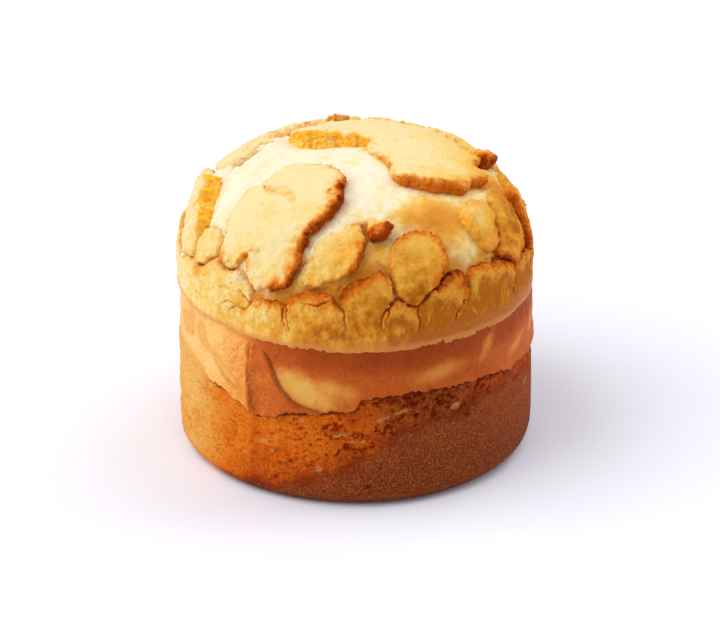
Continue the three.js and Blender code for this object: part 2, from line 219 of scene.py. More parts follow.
def ripple(x, y, z, size, seed):
    """Slow waves through space, about size mm long, between -1 and 1."""
    k = 2 * math.pi / size
    a = np.sin(k * (0.83 * x + 0.47 * y + 0.29 * z) + 1.7 * seed)
    b = np.sin(k * 1.31 * (-0.39 * x + 0.79 * y + 0.51 * z) + 2.9 * seed)
    c = np.sin(k * 0.77 * (0.31 * x - 0.53 * y + 0.81 * z) + 4.3 * seed)
    return (a + b + c) / 3


def corner_slope(i, j, seed, u, v):
    """The height at (u, v) of a slope through a grid's corner, turned a repeatable way there. The
    large numbers only make corners side by side turn in ways that have nothing to do with each other."""
    h = (i.astype(np.int64) * 374761393 + j.astype(np.int64) * 668265263 + seed * 974711) & 0xFFFFFFFF
    h = ((h ^ (h >> 13)) * 1274126177) & 0xFFFFFFFF
    turn = ((h ^ (h >> 16)) & 0xFFFF) * (2 * math.pi / 65536)
    return np.cos(turn) * (u - i) + np.sin(turn) * (v - j)


def noise(x, y, size, seed):
    """Smooth noise in the plane with bumps about size mm across, nearly always between -1 and 1. seed is
    any whole number, and another one gives other bumps."""
    u = (0.94 * np.asarray(x, float) + 0.34 * np.asarray(y, float)) / size
    v = (0.94 * np.asarray(y, float) - 0.34 * np.asarray(x, float)) / size
    i = np.floor(u)
    j = np.floor(v)
    s = smooth(u - i, 0, 1)
    t = smooth(v - j, 0, 1)
    low = corner_slope(i, j, seed, u, v) * (1 - s) + corner_slope(i + 1, j, seed, u, v) * s
    high = corner_slope(i, j + 1, seed, u, v) * (1 - s) + corner_slope(i + 1, j + 1, seed, u, v) * s
    return 1.5 * (low * (1 - t) + high * t)


def mound(x, y, cx, cy, radius):
    """A soft mound about (cx, cy): 1 there, and about a third at the radius."""
    return np.exp(-((x - cx) ** 2 + (y - cy) ** 2) / radius**2)


def round_from(around, start=0.0):
    """Radians round from a direction: up to half a turn, positive to the right."""
    return np.arctan2(np.sin(around - start), np.cos(around - start))


def side_places(around, z):
    """The side unrolled: distance round from the front, to the right, and height."""
    return BODY_RADIUS * round_from(around), z


def side_noise(s, z, size, seed):
    """Noise on the unrolled side that runs on round the back without a seam."""
    share = smooth(s, HALF_ROUND - BLEND, HALF_ROUND)
    return (1 - share) * noise(s, z, size, seed) + share * noise(s - 2 * HALF_ROUND, z, size, seed)


def clear_of_left(s, low, high):
    """0 up to low, at the left of the front, and 1 from high on round to the right, fading out behind."""
    return smooth(s, low, high) * (1 - smooth(s, CLEAR_UNTIL, HALF_ROUND))


# ---------------------------------------------------------------- the crown's surface

OUTLINE_TURNS = np.linspace(0, math.pi / 2, OUTLINE_STEPS)
OUTLINE_R = CROWN_RADIUS * np.sin(OUTLINE_TURNS) ** (2 / CROWN_FLATNESS)
OUTLINE_RISE = np.cos(OUTLINE_TURNS).clip(0) ** (2 / CROWN_SHOULDER)
OUTLINE_Z = CROWN_EQUATOR + (CROWN_HEIGHT - CROWN_EQUATOR) * OUTLINE_RISE
WALKED = np.concatenate([[0], np.cumsum(np.hypot(np.diff(OUTLINE_R), np.diff(OUTLINE_Z)))])
CROWN_REACH = WALKED[-1]


def crown_swell(x, y, z):
    """How far the crown stands out from its even shape."""
    return SWELL * ripple(x, y, z, SWELL_LENGTH, 1)


def on_crown(x, y, height):
    """Points of the crown from their places in the flat map, raised by height along the normal. Past
    the widest ring the map goes straight down."""
    distance = np.hypot(x, y)
    walked = distance.clip(0, CROWN_REACH)
    r = np.interp(walked, WALKED, OUTLINE_R)
    z = np.interp(walked, WALKED, OUTLINE_Z) - (distance - walked)
    ahead = (walked + CROWN_PROBE).clip(0, CROWN_REACH)
    behind = (walked - CROWN_PROBE).clip(0, CROWN_REACH)
    up = np.interp(ahead, WALKED, OUTLINE_R) - np.interp(behind, WALKED, OUTLINE_R)
    out = np.interp(behind, WALKED, OUTLINE_Z) - np.interp(ahead, WALKED, OUTLINE_Z)
    length = np.hypot(up, out)
    safe = np.maximum(distance, 1e-9)
    ux = x / safe
    uy = y / safe
    base = np.stack([ux * r, uy * r, z], -1)
    normal = np.stack([ux * out / length, uy * out / length, up / length], -1)
    swell = crown_swell(base[..., 0], base[..., 1], base[..., 2])
    return base + normal * (height + swell)[..., None]


def crust_depth(x, y):
    """How far the bare dough lies under the plates' tops."""
    return CRUST * (1 - smooth(np.hypot(x, y), TAPER_FROM, TAPER_TO))


def outside(plate, x, y):
    """How far a point lies outside a plate's lobes, which run together softly; negative inside."""
    gaps = np.array([np.hypot(x - cx, y - cy) - r for cx, cy, r in plate.lobes])
    least = gaps.min(0)
    soft = least - MELT * np.log(np.exp((least - gaps) / MELT).sum(0))
    seed = PLATES.index(plate)
    waver = WAVER * ripple(x, y, 0, 13, 3 + seed) + 0.5 * WAVER * ripple(x, y, 0, 6, 4 + seed)
    jagged = 0.7 * noise(x, y, 4.4, 11 + seed) + 0.6 * noise(x, y, 2.1, 50 + seed)
    return soft + waver + jagged + 0.4 * noise(x, y, 1.1, 90 + seed)


def neighbours_of(plate):
    """The plates near enough to hold ground beside this one."""
    return [
        other for other in PLATES
        if other is not plate
        and math.hypot(*(other.centre - plate.centre)) < other.reach + plate.reach + NEIGHBOUR_GAP
    ]


def beyond(plate, neighbours, x, y):
    """Distance outside a plate's own ground, about in mm: its lobes, less what other plates hold, less
    half a crack, and no further down than the crust's end."""
    own = outside(plate, x, y)
    distance = np.hypot(x, y)
    far = np.maximum(own, distance - PLATE_END)
    crack = CRACK * (1.6 + 1.0 * noise(x, y, 5.0, 7)) * (1 - 0.75 * smooth(distance, 66, 80))
    for other in neighbours:
        far = np.maximum(far, (own - outside(other, x, y) + crack) / 2)
    return far


def lap_height(around):
    """The height of the skin's lower edge, round from the front in radians."""
    degrees = np.degrees(round_from(around))
    ats = np.array([row[0] for row in LAP_EDGE], float)
    heights = np.array([row[1] for row in LAP_EDGE], float)
    i = np.clip(np.searchsorted(ats, degrees, side="left"), 1, len(ats) - 1)
    t = smooth(degrees, ats[i - 1], ats[i])
    return heights[i - 1] + (heights[i] - heights[i - 1]) * t


# ---------------------------------------------------------------- meshes


def make_mesh(name, points, faces, values):
    """A mesh object from points in mm, lists of faces (each an array with one row a face), and values
    at its points by name."""
    mesh = bpy.data.meshes.new(name)
    corners = np.concatenate([block.ravel() for block in faces])
    sizes = np.concatenate([np.full(len(block), block.shape[1]) for block in faces])
    starts = np.concatenate([[0], np.cumsum(sizes)[:-1]])
    mesh.vertices.add(len(points))
    mesh.vertices.foreach_set("co", (points * MM).astype(np.float32).ravel())
    mesh.loops.add(len(corners))
    mesh.loops.foreach_set("vertex_index", corners.astype(np.int32))
    mesh.polygons.add(len(sizes))
    mesh.polygons.foreach_set("loop_start", starts.astype(np.int32))
    mesh.update(calc_edges=True)
    mesh.shade_smooth()
    for key, value in values.items():
        layer = mesh.attributes.new(key, "FLOAT", "POINT")
        layer.data.foreach_set("value", np.broadcast_to(value, len(points)).astype(np.float32))
    piece = bpy.data.objects.new(name, mesh)
    bpy.context.scene.collection.objects.link(piece)
    return piece


def ring_faces(rows, columns, first=0):
    """Quads between successive rings of points, each ring round and closed."""
    k, i = np.meshgrid(np.arange(rows - 1), np.arange(columns), indexing="ij")
    j = (i + 1) % columns
    quad = np.stack([k * columns + i, k * columns + j, (k + 1) * columns + j, (k + 1) * columns + i], -1)
    return quad.reshape(-1, 4) + first


def fan_faces(ring, centre):
    """Triangles from a ring of points to one point, turned the way the ring runs."""
    return np.stack([ring, np.roll(ring, -1), np.full(len(ring), centre)], -1)


def padded(values, count, last=0.0):
    """Values for the points of a surface, and one value for the count points that come after them."""
    return np.append(values.ravel(), np.full(count, last))


# ---------------------------------------------------------------- the crust's plates


def open_edges(triangles):
    """The edges that only one triangle of a patch has, each as the points that it runs from and to."""
    edges = np.concatenate([triangles[:, [0, 1]], triangles[:, [1, 2]], triangles[:, [2, 0]]])
    keys = edges[:, 0].astype(np.int64) * EDGE_KEY + edges[:, 1]
    back = edges[:, 1].astype(np.int64) * EDGE_KEY + edges[:, 0]
    return edges[~np.isin(keys, back)]


def outer_loop(triangles):
    """The longest closed boundary of a patch of triangles, as its points in order."""
    edges = open_edges(triangles)
    after = dict(zip(edges[:, 0].tolist(), edges[:, 1].tolist()))
    loops = []
    while after:
        start = next(iter(after))
        loop = [start]
        here = after.pop(start)
        while here != start and here in after:
            loop.append(here)
            here = after.pop(here)
        loops.append(np.array(loop))
    return max(loops, key=len)


def pinched(triangles):
    """Points where the patch's boundary touches itself."""
    found, counts = np.unique(open_edges(triangles)[:, 0], return_counts=True)
    return found[counts > 1]


def largest_patch(triangles, count):
    """The triangles of the patch's largest connected part."""
    label = np.arange(count)
    while True:
        before = label.copy()
        least = label[triangles].min(1)
        for corner in range(3):
            np.minimum.at(label, triangles[:, corner], least)
        label = label[label]
        if (label == before).all():
            break
    of_triangle = label[triangles[:, 0]]
    found, counts = np.unique(of_triangle, return_counts=True)
    return triangles[of_triangle == found[counts.argmax()]]


def plate_patch(plate, neighbours):
    """The plate's ground in the flat map: points and triangles, with the edge points on its outline."""
    h = PLATE_STEP
    low = plate.centre - plate.reach - PATCH_MARGIN
    across = 2 * (plate.reach + PATCH_MARGIN)
    columns = int(across / h) + 2
    rows = int(across / (h * ROW_SPACING)) + 2
    j, i = np.meshgrid(np.arange(rows), np.arange(columns), indexing="ij")
    x = low[0] + (i + 0.5 * (j % 2)) * h
    y = low[1] + j * h * ROW_SPACING
    x = x.ravel()
    y = y.ravel()
    far = beyond(plate, neighbours, x, y)
    kept = far < NEAR_EDGE * h
    a = (j * columns + i)[:-1, :-1]
    odd = (j % 2)[:-1, :-1] == 1
    b, c, d = a + 1, a + columns, a + columns + 1
    first = np.where(odd[..., None], np.stack([a, d, c], -1), np.stack([a, b, c], -1)).reshape(-1, 3)
    second = np.where(odd[..., None], np.stack([a, b, d], -1), np.stack([b, d, c], -1)).reshape(-1, 3)
    triangles = np.concatenate([first, second])
    triangles = triangles[kept[triangles].all(1)]
    triangles = triangles[(far[triangles] < -NEAR_EDGE * h).any(1)]
    for _ in range(6):
        bad = pinched(triangles)
        if not len(bad):
            break
        triangles = triangles[~np.isin(triangles, bad).any(1)]
    triangles = largest_patch(triangles, len(x))
    used, triangles = np.unique(triangles, return_inverse=True)
    triangles = triangles.reshape(-1, 3)
    x = x[used]
    y = y[used]
    loop = outer_loop(triangles)
    for _ in range(3):
        bx, by = x[loop], y[loop]
        here = beyond(plate, neighbours, bx, by)
        gx = beyond(plate, neighbours, bx + PROBE, by) - beyond(plate, neighbours, bx - PROBE, by)
        gy = beyond(plate, neighbours, bx, by + PROBE) - beyond(plate, neighbours, bx, by - PROBE)
        gx = gx / (2 * PROBE)
        gy = gy / (2 * PROBE)
        step = np.clip(here, -0.5 * h, 0.5 * h) / np.maximum(gx * gx + gy * gy, 0.25)
        x[loop] -= 0.8 * step * gx
        y[loop] -= 0.8 * step * gy
    return x, y, triangles, loop


def raised_at(plate, x, y):
    """How far a plate has curled up at a point, how browned it is there and how far it has torn."""
    along = (x - plate.centre[0]) * plate.towards[0] + (y - plate.centre[1]) * plate.towards[1]
    side = smooth(along / plate.reach, -0.05, 0.65)
    raised = plate.lift * side
    browned = plate.browned * side
    torn = np.zeros(raised.shape)
    for cx, cy, radius, mm, brown, tear in plate.spots:
        near = mound(x, y, cx, cy, radius)
        share = smooth(near, 0.1, 0.6)
        raised = raised + mm * near
        browned = browned + (brown - browned) * share
        torn = np.maximum(torn, tear * share)
    raised = raised + 0.8 * torn * noise(x, y, 4.5, 651) + 0.4 * torn * noise(x, y, 2.0, 652)
    return raised, browned, torn


# Marks on the crust, in the flat map. Dents: (x, y, radius, depth). Tears and creases: the points of a
# line, its half-width and its depth.
DENTS = (
    (-40.5, -46.5, 1.6, 0.9), (-35, -47.2, 1.5, 0.9), (-37.6, -46.2, 1.0, 0.6), (-21, -49, 1.3, 0.5),
    (22, -13, 3.0, 0.6), (29, -15, 2.2, 0.4), (20, 21, 2.5, 0.5), (33, -1, 2.4, 0.4), (24, 7, 1.6, 0.35),
    (-12, -73, 2.4, 0.5), (-22, -75, 2.0, 0.5), (8, -71, 2.2, 0.4), (-60, -44, 2.6, 0.4),
    (-41, -69, 1.8, 0.5), (21, -57, 2.4, 0.35), (57, -48, 2.6, 0.4), (36, -68, 2.0, 0.4),
    (58, -24, 2.6, 0.4), (-5, -55, 1.8, 0.4),
)
TEARS = (
    (((-30.5, -20.5), (-28, -24), (-24, -25.5), (-21.5, -28.5), (-20.5, -33)), 1.9, 1.1),
    (((-57, -49), (-52, -53), (-48, -57)), 0.6, 0.6),
)
CREASES = (
    (((-20, -34), (-19.5, -38), (-21, -42)), 0.5, 0.35),
    (((-31, -29), (-34, -36), (-33, -42)), 0.6, 0.25),
    (((10, -1), (17, -6), (24, -7)), 0.8, 0.45),
    (((5, 10), (13, 8), (20, 14)), 0.8, 0.4),
    (((28, -64), (25, -69), (27, -74)), 0.35, 0.6),
    (((10, -73), (12, -78), (10, -82)), 0.35, 0.6),
    (((-16.5, -83), (-14.5, -80), (-12, -77)), 0.4, 0.7),
    (((-30, -69), (-31.8, -73), (-31, -79)), 0.45, 0.8),
    (((-3, -74.5), (-2.2, -77), (-3.5, -81)), 0.35, 0.6),
    (((12, -69), (13.6, -74), (12.6, -82)), 0.45, 0.8),
    (((32.5, -66), (31, -71), (31, -79)), 0.45, 0.8),
    (((47, -57), (45.5, -66), (47, -75)), 0.45, 0.8),
    (((-47.5, -56), (-46.2, -60), (-44, -64)), 0.45, 0.8),
    (((-60, -54), (-55, -56), (-51, -60)), 0.4, 0.6),
    (((61, -46), (66, -50), (71, -50)), 0.4, 0.7),
    (((49, -61), (54, -61.5), (58, -66)), 0.35, 0.6),
    (((-21, -69.5), (-15, -71.5), (-10, -70)), 0.35, 0.5),
    (((17, -79), (20, -83)), 0.35, 0.5),
    (((-68, -48), (-64, -55)), 0.35, 0.5),
    (((54, -27), (60, -25), (63, -20)), 0.6, 0.4),
)


def from_line(line, x, y):
    """Distance from a line through the flat map, and how far along it that is, 0 to 1."""
    best = np.full(x.shape, 1e9)
    along = np.zeros(x.shape)
    count = len(line) - 1
    for k in range(count):
        (ax, ay), (bx, by) = line[k], line[k + 1]
        length = math.hypot(bx - ax, by - ay)
        t = np.clip(((x - ax) * (bx - ax) + (y - ay) * (by - ay)) / length**2, 0, 1)
        distance = np.hypot(x - ax - t * (bx - ax), y - ay - t * (by - ay))
        along = np.where(distance < best, (k + t) / count, along)
        best = np.minimum(best, distance)
    return best, along


def marks_at(x, y):
    """The depth of dents, tears, creases and, low down, hairline cracks at points of the crust, and the
    shares creased and torn."""
    wx = x + 0.5 * noise(x, y, 1.9, 610)
    wy = y + 0.5 * noise(x, y, 1.9, 611)
    dent = np.zeros(x.shape)
    for cx, cy, radius, mm in DENTS:
        away = np.hypot(wx - cx, 1.4 * (wy - cy)) / radius
        dent = np.maximum(dent, mm * (1 - smooth(away, 0.2, 1.3)))
    torn = np.zeros(x.shape)
    for line, half, mm in TEARS:
        distance, along = from_line(line, wx, wy)
        wide = half * (0.35 + np.sin(math.pi * along.clip(0.02, 0.98)))
        share = 1 - smooth(distance, 0.4 * wide, 1.3 * wide)
        dent = np.maximum(dent, mm * share)
        torn = np.maximum(torn, 0.3 * share)
    creased = np.zeros(x.shape)
    for line, half, mm in CREASES:
        distance, along = from_line(line, wx, wy)
        wide = half * (0.3 + np.sin(math.pi * along.clip(0.02, 0.98)))
        share = 1 - smooth(distance, 0, 1.5 * wide)
        dent = np.maximum(dent, mm * share)
        creased = np.maximum(creased, share * min(0.4 / half, 1))
    low = smooth(np.hypot(x, y), 54, 72)
    hair = np.abs(noise(x, y, 8.0, 660) + 0.6 * noise(x, y, 2.8, 661) + 0.25 * noise(x, y, 1.2, 662))
    hair = (1 - smooth(hair, 0.0, 0.075)) * smooth(noise(x, y, 9.0, 663), -0.1, 0.25) * low
    dent = np.maximum(dent, 0.5 * hair)
    creased = np.maximum(creased, 0.5 * hair)
    return dent, creased, torn


# Where the crust's colour is darker than round about, and paler where the amount is negative: places in
# the flat map, radius and how much.
HOTTER = (
    (62, -12, 13, 0.25), (64, -42, 9, 0.12), (8, -79, 9, 0.1), (23, -72, 8, 0.1), (40, -70, 8, 0.08),
    (-36, -74, 3, 0.25), (-17, -79, 4, 0.25), (-50, -62, 3, 0.15), (2, -66, 3, 0.2), (24, -52, 4, 0.05),
    (-6, -83, 3, 0.2), (-27, -69, 3, 0.15), (12, -77, 3, 0.15), (47, -63, 3, 0.15), (-30, -52, 16, -0.2),
    (14, -84, 9, -0.1), (24, -79, 9, 0.18), (42, -71, 9, 0.2), (23, -57, 8, 0.04), (-9, -58, 6, 0.1),
    (44, -29, 8, -0.2), (72, -2, 12, -0.35), (-57, -31, 8, 0.22),
)


def bake_and_shade_at(x, y):
    """How dark the crown's colour is, 0 to 1: palest at the top and left, darkest low at the front right.
    It is partly browning, which grows down from the top, and partly painted shade, which grows to the
    right, away from the key lamp on the left.
    """
    low = smooth(np.hypot(x, y), 46, 70)
    mottled = 0.17 * noise(x, y, 11, 640) + (0.08 + 0.12 * low) * noise(x, y, 3.6, 641)
    mottled = mottled + (0.05 + 0.07 * low) * noise(x, y, 1.5, 642) - 0.03 * low
    for cx, cy, radius, much in HOTTER:
        mottled = mottled + much * mound(x, y, cx, cy, radius)
    # The slope in x is painted shade, darker away from the key lamp; the rise with distance is browning.
    return np.clip(-0.38 + 0.0062 * x - 0.0025 * y + 0.0118 * np.hypot(x, y) + mottled, 0, 1)


def toast_at(x, y, inset, browned, low, seed):
    """How brown the crust is on top: most at the edge of a side that stood up in the heat, and further
    in from it low down."""
    inside = inset * (1 + 0.6 * noise(x, y, 6.0, 250 + seed)) + 0.8 * noise(x, y, 2.3, 290 + seed)
    near = 1 - smooth(inside, 0, 3.2 + 1.8 * low)
    glow = np.exp(-np.maximum(inside, 0) / (3.2 + 3.6 * low))
    specks = 0.14 * noise(x, y, 2.6, 643) + 0.1 * noise(x, y, 1.2, 644)
    return browned * (0.5 * near + 0.5 * glow) + specks


def make_plate(plate):
    """A closed plate: its uneven top, a crumbly edge, and a wall that runs down into the dough."""
    neighbours = neighbours_of(plate)
    x, y, triangles, loop = plate_patch(plate, neighbours)
    seed = PLATES.index(plate)
    inset = np.maximum(-beyond(plate, neighbours, x, y), 0)
    inset[loop] = 0
    share = crust_depth(x, y) / CRUST
    raised, browned, torn = raised_at(plate, x, y)
    curled = 1 - np.exp(-raised / 1.1)
    distance = np.hypot(x, y)
    small = min(plate.reach / LARGE_PLATE, 1)
    varied = 1 + 0.6 * noise(x, y, 2.7, 150 + seed)
    rounding = (EDGE_ROUND + CURL_ROUND * curled) * small * share * varied + 0.12
    t = np.clip(inset / rounding, 0, 1)
    drop = rounding * (1 - np.sqrt(1 - (1 - t) ** 2))
    low = smooth(distance, 46, 70)
    bumps = 0.42 * noise(x, y, 9.0, 90 + seed) + (0.2 + 0.28 * low) * noise(x, y, 3.8, 130 + seed)
    at_edge = np.exp(-inset / 1.5)
    fine = 0.05 + 0.07 * low
    crumbs = (fine + 0.3 * at_edge) * noise(x, y, 1.25, 170 + seed)
    crumbs = crumbs + (fine + 0.25 * at_edge) * noise(x, y, 2.4, 171 + seed)
    flat_edge = -0.5 * (1 - curled) * np.exp(-inset / 3.0)
    dent, creased, tear = marks_at(x, y)
    sunk = 0.75 * smooth(distance + 1.5 * noise(x, y, 4.2, 620), 81, 89)
    top = 0.3 + raised * share - drop + (bumps + flat_edge) * (0.55 + 0.45 * share) + crumbs - sunk
    top = top - dent * (0.6 + 0.4 * share)
    points = [on_crown(x, y, top)]
    faces = [triangles]
    # Where the plate's relief is low the colour is painted darker: painted shade in its hollows, low down.
    bakes_and_shades = [bake_and_shade_at(x, y) - 0.22 * bumps * low]
    # Dents, tears, creases and hairline cracks are painted darker: painted shade in them, more low down.
    dent_shade = (0.22 + 0.2 * low) * dent + 0.45 * low * creased
    toasts_and_dent_shades = [toast_at(x, y, inset * small, browned, low, seed) + dent_shade]
    frayed = 1 - smooth(inset + 1.3 * noise(x, y, 3.0, 653) + 0.5 * noise(x, y, 1.2, 654), 0.2, 2.0)
    tears = [np.maximum(tear, 0.9 * torn * frayed)]
    crumbly = [np.exp(-inset / 0.7) * (0.14 + 0.8 * browned + 0.4 * torn) * share]

    lx, ly = x[loop], y[loop]
    tangent = np.stack([np.roll(lx, -1) - np.roll(lx, 1), np.roll(ly, -1) - np.roll(ly, 1)], -1)
    tangent /= np.linalg.norm(tangent, axis=1)[:, None]
    outward = np.stack([tangent[:, 1], -tangent[:, 0]], -1)
    foot = -crust_depth(lx, ly) - BURIED
    height = top[loop] - foot
    rings = max(4, int(math.ceil(height.max() / PLATE_STEP)))
    count = len(x)
    previous = loop
    run = np.cumsum(np.hypot(lx - np.roll(lx, 1), ly - np.roll(ly, 1)))
    reach = range(-3, 4)
    calm = np.stack([np.mean([np.roll(v, k) for k in reach], 0) for v in (lx, ly)], -1)
    torn = torn[loop]
    lifted = raised[loop]
    for k in range(1, rings + 1):
        t = k / rings
        leant = (1.0 + 0.5 * noise(run, 0 * run, 5.0, 202 + seed)) * lifted * t * torn
        tucked = leant - (0.2 + 0.45 * lifted) * t * t * (1 - torn)
        grain = noise(run, height * t, 1.0, 200 + seed) + noise(run + 40, height * t, 2.1, 201 + seed)
        grain = (0.16 + 0.3 * curled[loop] + 0.12 * torn) * grain * (1 - smooth(t, 0.8, 1))
        aside = (0.3 * math.sin(math.pi * t) + tucked + grain) * share[loop]
        even = smooth(t, 0, 0.5)
        px = lx + (calm[:, 0] - lx) * even + aside * outward[:, 0]
        py = ly + (calm[:, 1] - ly) * even + aside * outward[:, 1]
        points.append(on_crown(px, py, top[loop] - height * t))
        ring = np.arange(count, count + len(loop))
        faces.append(np.stack([np.roll(previous, -1), previous, ring, np.roll(ring, -1)], -1))
        bakes_and_shades.append(bakes_and_shades[0][loop] + 0.2 * t)
        toasts_and_dent_shades.append(toasts_and_dent_shades[0][loop] * (1 - 0.3 * t) + 0.35 * grain + 0.14 * np.minimum(browned[loop], 1))
        tears.append(torn * smooth(height * t, 0, 0.5))
        crumbly.append(0.2 * torn * share[loop])
        previous = ring
        count += len(loop)
    points.append(on_crown(plate.centre[:1], plate.centre[1:], np.array([PLATE_CORE])))
    faces.append(fan_faces(previous[::-1], count))
    values = {"bake": bakes_and_shades, "toast": toasts_and_dent_shades, "torn": tears, "crumbly": crumbly}
    values = {name: np.append(np.concatenate(parts), 0) for name, parts in values.items()}
    return make_mesh("crust_" + plate.name, np.concatenate(points), faces, values)


# ---------------------------------------------------------------- the crown's dough


def lip_height(around):
    """The lower edge of the crown's bulge: nearly level, and torn into small flakes in places."""
    s, level = side_places(around, 0 * around)
    torn = smooth(side_noise(s, level, 45, 9) + 0.5 * np.exp(-((s - 46) / 16) ** 2), -0.05, 0.4)
    teeth = 0.4 * side_noise(s, level, 3.0, 5) + 0.35 * side_noise(s, level, 1.2, 6)
    slow = 0.5 * side_noise(s, level, 30, 8) + 0.4 * side_noise(s, level, 9, 7)
    return RIM_HEIGHT + slow + teeth * (0.6 + 1.9 * torn)


# Where the dough has swelled up level with the crust: places in the flat map, radius and height.
SWELLS = (
    (3, -12, 9, 1.3), (-45, -14, 10, 1.3), (-50, -26, 7, 1.0), (-40, 4, 9, 1.3), (-28, 12, 7, 0.9),
    (40, -40, 8, 0.8), (-10, 0, 8, 0.8), (46, -18, 5, 0.8), (3, -2, 5, 1.2), (7, -10, 5, 1.4),
    (11, -17, 4, 1.0),
)

# Where the bare dough has browned: places in the flat map, radius and how much.
GOLDEN = (
    (28, -36, 9, 0.85), (19, -38, 6, 0.6), (-10, -67, 8, 0.9), (2, -64, 8, 0.9), (13, -62, 6, 0.8),
    (36, -58, 6, 0.7), (50, -44, 4, 0.5), (52, -5, 7, 0.8), (44, -6, 6, 0.6), (7, -54, 5, 0.5),
    (9, -6, 3, 0.7), (-17, -65, 6, 0.8), (-30, -67, 7, 0.95), (-44, -58, 6, 0.9), (-58, -38, 4, 0.5),
    (12, 62, 9, 0.6), (-30, 60, 8, 0.5), (60, 40, 9, 0.7), (-66, 44, 8, 0.4),
)


def around_plates(x, y):
    """Distances outside the nearest and the second nearest plate, and how far the nearest curled up."""
    first = np.full(x.shape, OUT_OF_REACH)
    second = np.full(x.shape, OUT_OF_REACH)
    curled = np.zeros(x.shape)
    for plate in PLATES:
        near = np.hypot(x - plate.centre[0], y - plate.centre[1]) < plate.reach + 12
        far = np.full(x.shape, OUT_OF_REACH)
        far[near] = outside(plate, x[near], y[near])
        nearest = far < first
        curled[nearest] = raised_at(plate, x[nearest], y[nearest])[0]
        second = np.minimum(second, np.maximum(first, far))
        first = np.minimum(first, far)
    return first, second, curled


